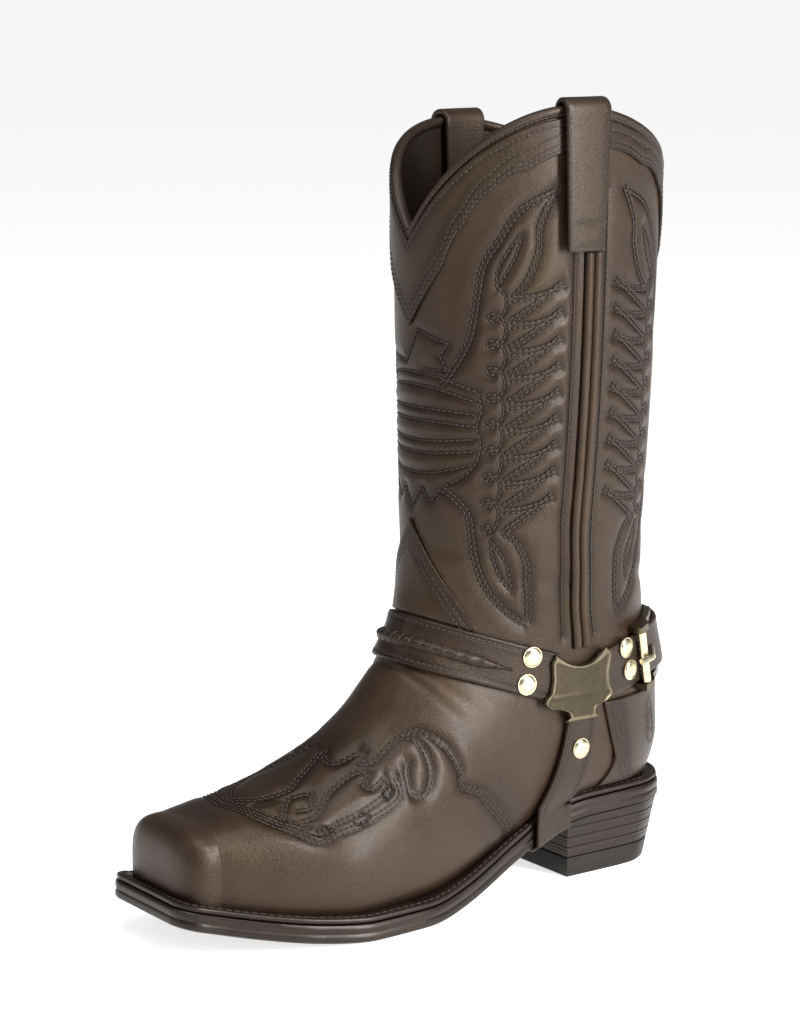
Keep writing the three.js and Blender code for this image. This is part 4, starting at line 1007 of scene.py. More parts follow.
@dataclass
class Foot:
    """The lasted foot: vamp, quarters and heel, with the vamp's stitched flames."""

    columns: int = 300
    rows: int = 230
    inner_rows: int = 14
    double_row: float = 2.0
    thread_depth: float = 0.5

    # Rows and turns in degrees of the vamp's stitched lines
    FLAMES = (
        ((2.05, 0), (2.44, 35), (3.06, 56), (3.43, 64), (3.87, 61), (4.63, 61), (5.46, 60), (5.57, 49)),
        ((2.2, 0), (2.6, 33), (3.15, 51), (3.5, 58), (3.9, 55), (4.6, 55), (5.3, 54), (5.35, 47)),
        ((2.35, 0), (2.75, 14), (3.35, 20), (3.75, 15), (4.54, 7)),
        ((4.54, 7), (4.35, 14), (4.5, 22), (5.14, 27)),
        ((5.14, 27), (4.9, 31), (5.2, 36), (6.13, 38)),
        ((6.13, 38), (6.5, 47), (6.4, 60), (6.03, 66), (5.75, 62), (5.85, 54), (6.05, 50)),
        ((2.9, 42), (3.1, 32), (3.29, 27), (3.6, 30), (3.5, 37), (3.3, 36)),
        ((3.6, 46), (4.0, 36), (4.6, 34), (4.95, 38)),
        ((4.95, 38), (4.7, 42), (4.9, 48), (5.35, 47)),
        ((3.25, 47), (3.6, 46)),
    )
    SEAM = ((6.2, 38), (6.66, 45), (7.0, 60), (6.98, 73), (6.85, 80), (7.14, 91), (7.25, 112), (7.25, 128))
    INLAYS = (
        (2.5, 16, 3.1, 24), (2.6, 38, 2.95, 43), (3.35, 56, 3.7, 57),
        (4.2, 57, 4.55, 57.5), (5.1, 56, 5.3, 51),
    )

    def sewing(self) -> Sewing:
        """The stitch lines of the vamp and its seams."""
        sewing = Sewing()
        for side in SIDES:
            for line in self.FLAMES:
                for beside in (0.0, self.double_row):
                    sewing.on_foot([(row, side * turn) for row, turn in line], side * beside)
            for shift in (0.0, 0.055, 0.13):
                sewing.on_foot([(row + shift, side * turn) for row, turn in self.SEAM])
        return sewing

    def inlays(self, skin: np.ndarray) -> np.ndarray:
        """How far each point of the skin lies in an almond hollow, from nought to one."""
        apart = np.full(skin.shape[:-1], np.inf)
        for first_row, first_turn, last_row, last_turn in self.INLAYS:
            for side in SIDES:
                turns = side * np.radians([first_turn, last_turn])
                start, end = LAST.point(np.array([first_row, last_row]), turns)
                way = end - start
                along = np.clip(((skin - start) @ way) / (way @ way), 0, 1)
                away = np.linalg.norm(skin - start - along[..., None] * way, axis=-1)
                apart = np.minimum(apart, away / (0.7 + 2.6 * np.sin(math.pi * along)))
        return smooth((1.15 - apart) / 0.3)

    def build(self) -> None:
        """Builds the foot with its stitches and inlays."""
        sewing = self.sewing()
        columns, rows = detail(self.columns), detail(self.rows)
        turn = np.linspace(0, 2 * math.pi, columns, endpoint=False)
        top = LAST.row_on(turn, LAST.waist_level)
        share = np.linspace(0, 1, rows)[:, None]
        row = mix(0.06, top[None, :], share**1.25)
        grid = np.broadcast_to(turn, row.shape)
        skin = LAST.off(row, grid, np.zeros(row.shape))
        gap = sewing.distance(skin)
        inset = self.inlays(skin)
        fade = smooth(share * 40) * smooth((1 - share) * 30)
        from_front = np.degrees(np.arctan2(np.sin(grid), np.cos(grid)))
        folds = (0.7 * near(row - 7.9, 0.18) + 0.5 * near(row - 8.5, 0.2)) * near(from_front, 48)
        outer = LAST.off(row, grid, -(sewn_depth(gap, 0.7, 3.2) + 0.5 * inset + folds) * fade)
        inner_row = mix(0.3, top[None, :], np.linspace(1, 0, self.inner_rows)[:, None])
        inner_grid = np.broadcast_to(turn, inner_row.shape)
        inner = LAST.off(inner_row, inner_grid, np.full(inner_row.shape, -LAST.wall))
        low = smooth((SOLE.top(skin[..., 0]) + 14 - skin[..., 2]) / 12)
        # Painted shade beside the stitches; darker too in the almond inlays and towards the sole
        groove = sewn_groove(gap, 2.4) + 0.7 * inset + 0.35 * low
        # Painted highlight away from the stitches, less of it towards the sole
        painted_highlight = 0.35 * smooth((gap - 1) / 4) + 0.3 * smooth((gap - 8) / 14) * (1 - low)
        paint = lined(groove, painted_highlight, self.inner_rows)
        points = np.concatenate([outer, inner])
        add_piece("lasted_foot", points, loft(len(points), columns), Finish.SHAFT, ("upper",), paint)
        sewing.stitches("vamp_stitches", self.thread_depth)


@dataclass
class Trim:
    """The overlays of the upper: collar band, binding, tongue, counter, side strips and pull straps."""

    overlay: float = 1.3
    clearance: float = 0.4
    tongue_half: float = 80 / 101
    tongue_point: float = 190.3
    counter_rise: float = 0.68
    welts_width: float = 9.0
    loop_half: float = 1.3
    loop_width: float = 24.0
    loop_drop: float = 67.0

    # Shares of the counter's height, and how far from the heel's back its edge stands there
    COUNTER_EDGE = np.array([(0.0, 56.1), (0.3, 47.9), (0.55, 52.1), (1.0, 58.2)])

    @property
    def face(self) -> float:
        """How far the face of an overlay stands off the upper."""
        return self.clearance + self.overlay

    @staticmethod
    def across(side: int, middle: float, v: np.ndarray | float, width: np.ndarray | float) -> np.ndarray:
        """Turns across a strip on a side of the shaft, by share across it."""
        return side * (middle + (v - 0.5) * width * 2 / LAST.depth)

    def collar_band(self) -> None:
        """Builds the collar band with three rows of stitches on its scalloped edge."""
        def place(s: np.ndarray, v: np.ndarray) -> tuple[np.ndarray, np.ndarray]:
            turn = 2 * math.pi * s
            return LAST.row_at(turn, mix(LAST.band(turn), LAST.collar(turn) - 4.2, v)), turn

        section = strap_section(self.clearance - 0.2, self.clearance + self.overlay, 0.0, 40, 0.02)
        points, faces = sweep(place, section, 720, closed=True)
        sewing = Sewing()
        turn = np.linspace(-math.pi, math.pi, 700)
        for rise in (1.8, 4.2, 9.0):
            sewing.add(LAST.line_at(turn, LAST.band(turn) + rise), self.face)
        sewing.add(LAST.line_at(turn, LAST.collar(turn) - 7.5), self.face)
        gap = sewing.distance(points)
        # Painted shade beside the stitches, a dark line along the band's lower edge, painted highlight away
        # from the stitches
        groove = 0.8 * near(gap, 0.7) + 0.9 * near(section[:, 0], 0.035)
        paint = {"groove": groove, "painted_highlight": 0.55 * smooth((gap - 1) / 5)}
        add_piece("collar_band_skin", points, faces, Finish.SHAFT, ("collar_band",), paint)
        sewing.stitches("collar_band_stitches", PROUD)

    def binding(self) -> None:
        """Builds the rolled tape over the collar and its stitches."""
        turn = np.linspace(0, 2 * math.pi, 480, endpoint=False)[:, None]
        angle = np.linspace(-0.35 * math.pi, 1.35 * math.pi, 13)[None, :]
        rim = LAST.row_at(turn, LAST.collar(turn))
        edge = LAST.off(rim, turn, np.full(rim.shape, -LAST.wall / 2))
        out = LAST.normal(rim, turn)
        across = LAST.wall / 2 + 1.5
        rings = edge + out * (across * np.cos(angle))[..., None]
        rings[..., 2] += np.where(np.sin(angle) > 0, 1.7, 4.2) * np.sin(angle) + 0.1
        lower = np.stack([rings[:, 0], rings[:, -1]], 1).mean(1, keepdims=True) + [0, 0, 0.6]
        rings = np.concatenate([rings, lower], 1)
        faces = quads(rings.shape[0], rings.shape[1], True, True)
        # No painted shade, and half the painted highlight all over the tape
        paint = {"groove": np.zeros(rings.shape[:2]), "painted_highlight": np.broadcast_to(0.5, rings.shape[:2])}
        add_piece("collar_tape", rings, faces, Finish.STRAP, ("collar_binding",), paint, 70)
        sewing = Sewing(2.6, 1.9, 0.3)
        around = np.linspace(-math.pi, math.pi, 700)
        sewing.add(LAST.line_at(around, LAST.collar(around) - 2.4), 1.75)
        sewing.stitches("collar_tape_stitches", PROUD)

    def tongue(self) -> None:
        """Builds the vamp's pointed tongue with its edge stitches."""
        half = self.tongue_half

        def edges(turn: np.ndarray) -> tuple[np.ndarray, np.ndarray]:
            foot = LAST.point(LAST.row_on(turn, LAST.front_level, 13.8), turn)[..., 2]
            return foot, mix(self.tongue_point, foot + 1.3, (np.abs(turn) / half) ** 0.85)

        def place(s: np.ndarray, v: np.ndarray) -> tuple[np.ndarray, np.ndarray]:
            turn = (2 * s - 1) * half
            low, high = edges(turn)
            return LAST.row_at(turn, mix(low, high, v)), turn

        points, faces = sweep(place, strap_section(0.2, self.face, 0.1, 12), 120)
        sewing = Sewing()
        for inset in (3.2, 5.8):
            turn = np.linspace(-half * 0.92, half * 0.92, 80)
            sewing.add(LAST.line_at(turn, edges(turn)[1] - inset * 1.7), self.face)
        # Painted shade beside the stitches, painted highlight away from them
        paint = sewing.wear_and_painted_light(points, 1.0, 0.5, 5)
        add_piece("tongue_point", points, faces, Finish.SHAFT, ("vamp_tongue",), paint)
        sewing.stitches("tongue_stitches", PROUD)

    def counter(self) -> None:
        """Builds the heel counter with its triple edge stitches and teardrop."""
        top = self.counter_rise * LAST.instep

        def edge_x(v: np.ndarray) -> np.ndarray:
            return np.interp(v, *self.COUNTER_EDGE.T) + SOLE.back

        rises = np.linspace(0, 1, 24)
        heights = mix(SOLE.top(edge_x(rises)) + 6.1, top, rises)
        found = {side: LAST.on_side(side, edge_x(rises), heights)[1] for side in SIDES}

        def place(s: np.ndarray, v: np.ndarray) -> tuple[np.ndarray, np.ndarray]:
            outer = np.interp(v, rises, found[1])
            inner = np.interp(v, rises, found[-1]) + 2 * math.pi
            turn = mix(outer, inner, s)
            reach = np.abs(2 * s - 1)
            low = SOLE.top(edge_x(v) * reach + SOLE.back * (1 - reach)) + 6.1
            return LAST.row_at(turn, mix(low, top, v)), turn

        points, faces = sweep(place, strap_section(0.3, self.face, 0.0, 22, 0.02), 200)
        sewing = Sewing()
        for inset in (0.02, 0.038, 0.056):
            for s in (inset, 1 - inset):
                v = np.linspace(0.06, 0.95, 40)
                sewing.add(np.stack(place(np.full(v.shape, s), v), -1), self.face)
        angle = np.linspace(0, 2 * math.pi, 50)
        for grow in (1.0, 0.55):
            for middle, way in ((0.2, 1), (0.8, -1)):
                rise = 0.62 + 0.26 * grow * np.cos(angle) - 0.1 * grow * np.sin(angle) ** 2
                teardrop = place(middle + 0.03 * grow * np.sin(angle) * way, rise)
                sewing.add(np.stack(teardrop, -1), self.face)
        # Painted shade beside the stitches, painted highlight away from them
        paint = sewing.wear_and_painted_light(points, 1.0, 0.5, 5)
        add_piece("counter_skin", points, faces, Finish.SHAFT, ("heel_counter",), paint)
        sewing.stitches("counter_stitches", PROUD)

    def piping(self, side: int) -> None:
        """Builds the pair of raised welts down a side seam."""
        name = SIDES[side]
        peak = float(LAST.collar(np.array(side * QUARTER)))
        low, high = LAST.plate_z + 18.5, peak - 67.8
        seam = QUARTER + 0.03
        v = np.linspace(0, 1, 17)
        welts = 0.55 + 1.9 * np.abs(np.sin(2 * math.pi * v)) ** 0.7
        back = [(0.98, 0.1), (0.5, 0.1), (0.02, 0.1)]
        section = np.concatenate([np.stack([v, 0.2 + welts], -1), back])

        def place(s: np.ndarray, v: np.ndarray) -> tuple[np.ndarray, np.ndarray]:
            turn = self.across(side, seam, v, self.welts_width)
            return LAST.row_at(turn, mix(low, high, s)), turn

        points, faces = sweep(place, section, 150, rounding=0.006)
        # Painted shade in the valleys between the welts, painted highlight on their tops
        valleys = np.concatenate([1 - np.clip(welts / 1.6, 0, 1), np.ones(len(back))])
        groove = np.broadcast_to(valleys, points.shape[:2])
        paint = {"groove": groove, "painted_highlight": 0.7 * (1 - groove)}
        add_piece("side_welts_" + name, points, faces, Finish.SHAFT, ("side_piping_" + name,), paint, 70)

    def pull_strap(self, side: int) -> None:
        """Builds a folded pull strap with stitches on both edges and a box at its foot."""
        name = SIDES[side]
        outer_seat, inner_seat = 4.5, -5.6
        top = float(LAST.collar(np.array(side * QUARTER)))
        low = top - self.loop_drop
        middle = QUARTER - 5 * 2 / LAST.depth

        def on_shaft(v: np.ndarray, share: float, offset: np.ndarray) -> np.ndarray:
            turn = self.across(side, middle, v, self.loop_width * mix(0.82, 1, share))
            return LAST.off(LAST.row_at(turn, np.full(v.shape, mix(low, top, share))), turn, offset)

        lines = []
        loop = strap_section(-self.loop_half, self.loop_half, 0.0, 10, 0.05)
        for share in np.concatenate([[0, 0.004, 0.012], np.linspace(0.03, 1, 30)]):
            thin = 0.55 if share == 0 else (0.85 if share < 0.01 else 1)
            lines.append(on_shaft(loop[:, 0], share, outer_seat + loop[:, 1] * thin))
        for angle in np.linspace(0, math.pi, 15)[1:-1]:
            outside = on_shaft(loop[:, 0], 1, outer_seat + loop[:, 1])
            inside = on_shaft(loop[:, 0], 1, inner_seat - loop[:, 1])
            ring = mix(outside, inside, 0.5 - 0.5 * math.cos(angle))
            ring[:, 2] += (5 + loop[:, 1]) * math.sin(angle)
            lines.append(ring)
        for share in np.linspace(1, 0.15, 18):
            lines.append(on_shaft(loop[:, 0], share, inner_seat - loop[:, 1]))
        points = np.array(lines)
        sewing = Sewing(2.6, 1.9, 0.3)
        for edge in (0.09, 0.91):
            share = np.linspace(0.03, 0.98, 60)
            turn = self.across(side, middle, edge, self.loop_width * mix(0.82, 1, share))
            sewing.add(LAST.line_at(turn, mix(low, top, share)), outer_seat + self.loop_half)
        turn = self.across(side, middle, np.linspace(0.1, 0.9, 20), self.loop_width * 0.84)
        for share in (0.04, 0.2):
            line = LAST.line_at(turn, np.full(turn.shape, mix(low, top, share)))
            sewing.add(line, outer_seat + self.loop_half)
        # Painted shade beside the stitches, painted highlight away from them
        paint = sewing.wear_and_painted_light(points, 0.8, 0.8, 4)
        faces = loft(len(lines), len(loop))
        add_piece("pull_strap_skin_" + name, points, faces, Finish.STRAP, ("pull_strap_" + name,), paint, 60)
        sewing.stitches("pull_strap_stitches_" + name, PROUD)


@dataclass
class Harness:
    """The ankle harness: its straps, plates and rivets, with the straps laid to the imported buckle."""

    strap: float = 2.6
    low: float = 0.4
    plate_length: float = 42.0
    plate_height: float = 35.5
    buckle_x: float = -23.68
    width: float = 26.0
    ridge_height: float = 2.2
    ridge_waves: int = 19
    rivet_radius: float = 5.2
    rivet_rim: float = 0.6

    # Inset and rise of each ring of a rivet's dome
    DOME = ((0.4, 0.0), (0.4, 0.6), (0.9, 0.4), (1.2, 0.2), (1.2, 0.05))

    def level_strap(self, name: str, level: Callable[[np.ndarray], np.ndarray], start: float, end: float,
                    nodes: Sequence[str], lift: Callable | None = None, crown: float = 0.25,
                    taper: float = 0.0) -> Sewing:
        """Builds a strap along a tilted level, with a row of stitches along each edge.

        Args:
            name: the piece's name.
            level: the strap's middle height by place along the boot.
            start: the turn it starts from.
            end: the turn it ends at.
            nodes: the solids it stands for.
            lift: an extra offset by share along it.
            crown: how far its face is padded.
            taper: how far it narrows at its far end.

        Returns:
            The stitches, for more rows before they are made.
        """
        def place(s: np.ndarray, v: np.ndarray) -> tuple[np.ndarray, np.ndarray]:
            turn = mix(start, end, s)
            narrow = self.width * (1 - taper * np.clip((s - 0.88) / 0.12, 0, 1) ** 2)
            return LAST.row_on(turn, level, (v - 0.5) * narrow), turn

        def rise(s: np.ndarray, v: np.ndarray) -> np.ndarray:
            return np.zeros(s.shape) if lift is None else lift(s)

        section = strap_section(self.low, self.low + self.strap, crown, 22, 0.05)
        points, faces = sweep(place, section, 160, rise)
        sewing = Sewing()
        s = np.linspace(0.02, 0.98, 150)
        for v in (0.11, 0.89) if lift is None else ():
            sewing.add(np.stack(place(s, np.full(s.shape, v)), -1), self.low + self.strap + crown * 0.3)
        # Painted shade beside the stitches, painted highlight away from them
        add_piece(name, points, faces, Finish.STRAP, nodes, sewing.wear_and_painted_light(points, 0.8, 0.5, 4), 60)
        return sewing

    def ridge(self, v: np.ndarray) -> np.ndarray:
        """How high the instep's ridge stands, by share across it."""
        return self.ridge_height * np.sin(math.pi * v) ** 0.8

    def front(self) -> None:
        """Builds the strap over the instep with its raised, whip-stitched ridge."""
        reach = np.array(LAST.plate_x + 0.3 * self.plate_length)
        ends = {side: float(LAST.on_side(side, reach, LAST.front_level(reach))[1]) for side in SIDES}
        sewing = self.level_strap("front_strap_skin", LAST.front_level, ends[-1], ends[1], ("front_strap",))
        half = math.radians(62)

        def place(s: np.ndarray, v: np.ndarray) -> tuple[np.ndarray, np.ndarray]:
            turn = (2 * s - 1) * half
            width = 7.0 * np.clip(np.sin(math.pi * s) * 3.2, 0.25, 1)
            return LAST.row_on(turn, LAST.front_level, (v - 0.5) * width - 1.0), turn

        def wave(s: np.ndarray, v: np.ndarray) -> np.ndarray:
            return 0.22 * np.sin(2 * math.pi * self.ridge_waves * s) * np.sin(math.pi * v)

        base = self.low + self.strap
        across = np.linspace(0, 1, 13)
        crest = np.stack([across, base + 0.1 + self.ridge(across)], -1)
        section = np.concatenate([crest, [(0.9, base - 0.4), (0.1, base - 0.4)]])
        points, faces = sweep(place, section, 160, wave, 0.03)
        # No painted shade, and half the painted highlight all over the ridge
        paint = {"groove": np.zeros(points.shape[:2]), "painted_highlight": np.broadcast_to(0.5, points.shape[:2])}
        add_piece("instep_ridge", points, faces, Finish.STRAP, (), paint, 70)
        whip = Sewing(2.4, 2.6, 0.55)
        v = np.linspace(-0.1, 1.1, 12)
        for middle in np.linspace(0.05, 0.95, self.ridge_waves + 1):
            row, turn = place(middle + np.linspace(-0.004, 0.004, v.size), v)
            raised = LAST.off(row, turn, base + 0.3 + self.ridge(np.clip(v, 0, 1)))
            line = np.hstack([raised, LAST.normal(row, turn)])
            whip.lines.append(read_off(np.linspace(0, v.size - 1, 13), np.arange(v.size), line))
        whip.stitches("instep_whip_stitches", 0.0)
        heights = np.linspace(-8, 8, 16)
        for side in SIDES:
            for before in (0.27, 0.6):
                turn = np.full(heights.shape, side * (ends[1] - before))
                bar = np.stack([LAST.row_on(turn, LAST.front_level, heights), turn], -1)
                sewing.add(bar, base + 0.15)
        sewing.stitches("front_strap_stitches", PROUD)

    def rear(self) -> None:
        """Builds the straps round the heel; the outer one climbs over the buckle's hinge bar."""
        reach = LAST.plate_x - 0.3 * self.plate_length
        level = LAST.rear_level(reach)
        outer, inner = (float(LAST.on_side(side, np.array(reach), level)[1]) for side in (1, -1))
        buckle = float(LAST.on_side(1, np.array(self.buckle_x), LAST.rear_level(self.buckle_x))[1])
        per_length = 2 / LAST.depth / 0.53
        roller, hinge = buckle - 12.5 * per_length, buckle + 12.5 * per_length
        bar = 3.4 * per_length
        start = inner + 2 * math.pi
        sewing = self.level_strap("back_strap_skin", LAST.rear_level, start, hinge + bar, ("back_strap",))
        sewing.stitches("back_strap_stitches", PROUD)
        end = hinge + 1.1 * 25 * per_length
        begin = (roller + 2.3 * per_length - outer) / (end - outer)
        finish = (hinge - bar - outer) / (end - outer)

        def climb(s: np.ndarray) -> np.ndarray:
            return 4.1 * smooth((s - begin) / (finish - begin))

        nodes = ("buckled_strap",)
        self.level_strap("buckled_strap_skin", LAST.rear_level, outer, end, nodes, climb, 0.15, 0.45)

    def under(self) -> None:
        """Builds the strap from plate to plate under the waist of the sole."""
        half = self.strap / 2
        foot_width = 24.0
        middle = SOLE.back + SOLE.heel_length + foot_width / 2 + 0.8
        top = float(LAST.rear_level(LAST.plate_x)) - 13.8
        lowest = float(SOLE.top(middle)) + SOLE.welt + 2 * self.strap
        loop = strap_section(-half, half, 0.0, 10, 0.05)
        foot_x = middle + (loop[:, 0] - 0.5) * foot_width

        def side_line(side: int, share: float) -> np.ndarray:
            z = mix(top, lowest, share)
            width = mix(18.5, foot_width, share)
            lean = LAST.plate_x - 0.12 * self.plate_length + 0.14 * (LAST.plate_z - z)
            x = mix(lean, middle, share**3) + (loop[:, 0] - 0.5) * width
            row, turn = LAST.on_side(side, x, np.full(x.shape, z))
            return LAST.off(row, turn, half + 0.4 * (1 + 1.5 * share) + loop[:, 1])

        def edge_line(side: int, below: float, pull: float = 0.0) -> np.ndarray:
            out = SOLE.edge(foot_x, 1 if side > 0 else 2) + 1.8 + half - pull + loop[:, 1]
            return np.stack([foot_x, side * out, SOLE.top(foot_x) + SOLE.welt - below], -1)

        def sole_line(side: int, inset: float) -> np.ndarray:
            y = side * (SOLE.edge(foot_x, 1 if side > 0 else 2) - inset)
            return np.stack([foot_x, y, SOLE.under(foot_x) - 0.8 - half - loop[:, 1]], -1)

        def half_lines(side: int) -> list[np.ndarray]:
            sides = [side_line(side, share) for share in np.linspace(0, 1, 18)]
            down = [edge_line(side, below) for below in (0, 4, 8, 11, 12.5)]
            corner = mix(edge_line(side, 13.0, 0.2), sole_line(side, half), 0.55)
            return [*sides, *down, corner, sole_line(side, half), sole_line(side, 6), sole_line(side, 16)]

        lines = [*half_lines(1), *half_lines(-1)[::-1]]
        points = np.array(lines)
        sewing = Sewing()
        for side in SIDES:
            sides = [side_line(side, share) for share in np.linspace(0.04, 1, 30)]
            for index in (1, 9):
                line = np.array([ring[index] for ring in sides])
                out = np.tile([0.0, float(side), 0.0], (len(line), 1))
                at = np.linspace(0, len(line) - 1, int(60 / (sewing.pitch / sewing.marks)))
                sewing.lines.append(read_off(at, np.arange(len(line)), np.hstack([line, out])))
        # Painted shade beside the stitches, painted highlight away from them
        paint = sewing.wear_and_painted_light(points, 0.8, 0.5, 4)
        faces = loft(len(lines), len(loop))
        add_piece("under_strap_skin", points, faces, Finish.STRAP, ("under_strap",), paint, 60)
        sewing.stitches("under_strap_stitches", PROUD)

    # down, back and front of a plate's outline, as shares of its height and half its length
    OUTLINE = np.array([
        (0.0, -0.73, 0.73), (0.09, -0.88, 0.86), (0.18, -0.86, 0.86), (0.36, -0.8, 0.84), (0.55, -0.83, 0.9),
        (0.64, -0.93, 1.06), (0.7, -0.94, 1.08), (0.77, -0.78, 0.9), (0.81, -0.5, 0.56), (0.86, -0.42, 0.4),
        (0.93, -0.42, 0.34), (0.97, -0.5, 0.46), (1.0, -0.48, 0.46),
    ])

    def plate(self, side: int) -> None:
        """Builds a cast plate with a raised rim and a plain sunk field."""
        name = SIDES[side]
        low = self.low + self.strap + 0.4
        down, v = np.meshgrid(np.linspace(0, 1, 60), np.linspace(0, 1, 60), indexing="ij")
        back = np.interp(down, self.OUTLINE[:, 0], self.OUTLINE[:, 1])
        front = np.interp(down, self.OUTLINE[:, 0], self.OUTLINE[:, 2])
        x = LAST.plate_x + mix(back, front, v) * self.plate_length / 2
        dip = np.interp(down, [0, 0.18, 0.4], [0.2, 0.12, 0.0])
        z = LAST.plate_z + (0.5 - down - dip * (1 - (2 * v - 1) ** 2)) * self.plate_height
        row, turn = LAST.on_side(side, x, z)
        across = np.minimum(v, 1 - v) * (front - back) * self.plate_length / 2
        to_edge = np.minimum(across, np.minimum(down, 1 - down) * self.plate_height * 0.9)
        rim = np.clip(to_edge / 0.6, 0, 1) ** 0.5 * (1 - 0.45 * smooth((to_edge - 1.7) / 0.7))
        field = 0.25 * near(down - 0.62, 0.03) * smooth((to_edge - 1) / 1.5)
        face = LAST.off(row, turn, low + 1.3 + 1.1 * (rim + field))
        rear = LAST.off(row, turn, np.full(row.shape, low))
        count = down.shape[0]
        front_faces = quads(count, count, False, False)
        rear_faces = [[i + count * count for i in quad[::-1]] for quad in front_faces]
        last = count - 1
        loop = [
            *range(count),
            *(count * k + last for k in range(1, count)),
            *(count * last + k for k in range(last - 1, -1, -1)),
            *(count * k for k in range(last - 1, 0, -1)),
        ]
        walls = [[a, b, b + count * count, a + count * count] for a, b in zip(loop, [*loop[1:], loop[0]])]
        groove = smooth((to_edge - 1.6) / 0.6) * 0.8
        points = np.concatenate([face.reshape(-1, 3), rear.reshape(-1, 3)])
        darkness = np.concatenate([groove.ravel(), np.ones(groove.size)])
        paint = {"groove": darkness, "painted_highlight": np.zeros(len(points))}
        faces = front_faces + rear_faces + walls
        add_piece("plate_skin_" + name, points, faces, Finish.PLATE, ("harness_plate_" + name,), paint, 40)

    # name, along in half plate lengths and up in plate heights
    RIVETS = (
        ("front_upper", 1.35, 0.51), ("front_lower", 1.5, 0.12), ("rear_upper", -1.47, 0.4),
        ("rear_lower", -1.63, 0.06), ("under", -0.05, -0.92),
    )

    def rivets(self) -> None:
        """Builds the domed rivets: a disc, inset and domed, with a thin flange."""
        for side, label in SIDES.items():
            for name, along, up in self.RIVETS:
                x = LAST.plate_x + along * self.plate_length / 2
                z = LAST.plate_z + up * self.plate_height
                row, turn = LAST.on_side(side, np.array(x), np.array(z))
                foot = LAST.off(row, turn, np.array(self.low + self.strap + 0.35))
                way = Vector(LAST.normal(row, turn))
                bpy.ops.object.select_all(action="DESELECT")
                rim = self.rivet_rim * MILLIMETRE
                radius = self.rivet_radius * MILLIMETRE
                bpy.ops.mesh.primitive_cylinder_add(
                    vertices=40, radius=radius, depth=rim, location=(0, 0, rim / 2),
                )
                piece = bpy.context.object
                piece.name = f"rivet_head_{label}_{name}"
                bpy.ops.object.transform_apply(location=True)
                work = bmesh.new()
                work.from_mesh(piece.data)
                top = [f for f in work.faces if f.normal.z > 0.9]
                for reach, rise in self.DOME:
                    bmesh.ops.inset_region(work, faces=top, thickness=reach * MILLIMETRE)
                    raised = list({v for f in top for v in f.verts})
                    bmesh.ops.translate(work, verts=raised, vec=(0, 0, rise * MILLIMETRE))
                work.to_mesh(piece.data)
                work.free()
                turned: Quaternion = Vector((0, 0, 1)).rotation_difference(way)
                piece.data.transform(turned.to_matrix().to_4x4())
                piece.data.transform(Matrix.Translation(Vector(foot * MILLIMETRE)))
                finish_piece(piece, Finish.BRASS, (f"rivet_{label}_{name}",), 35)


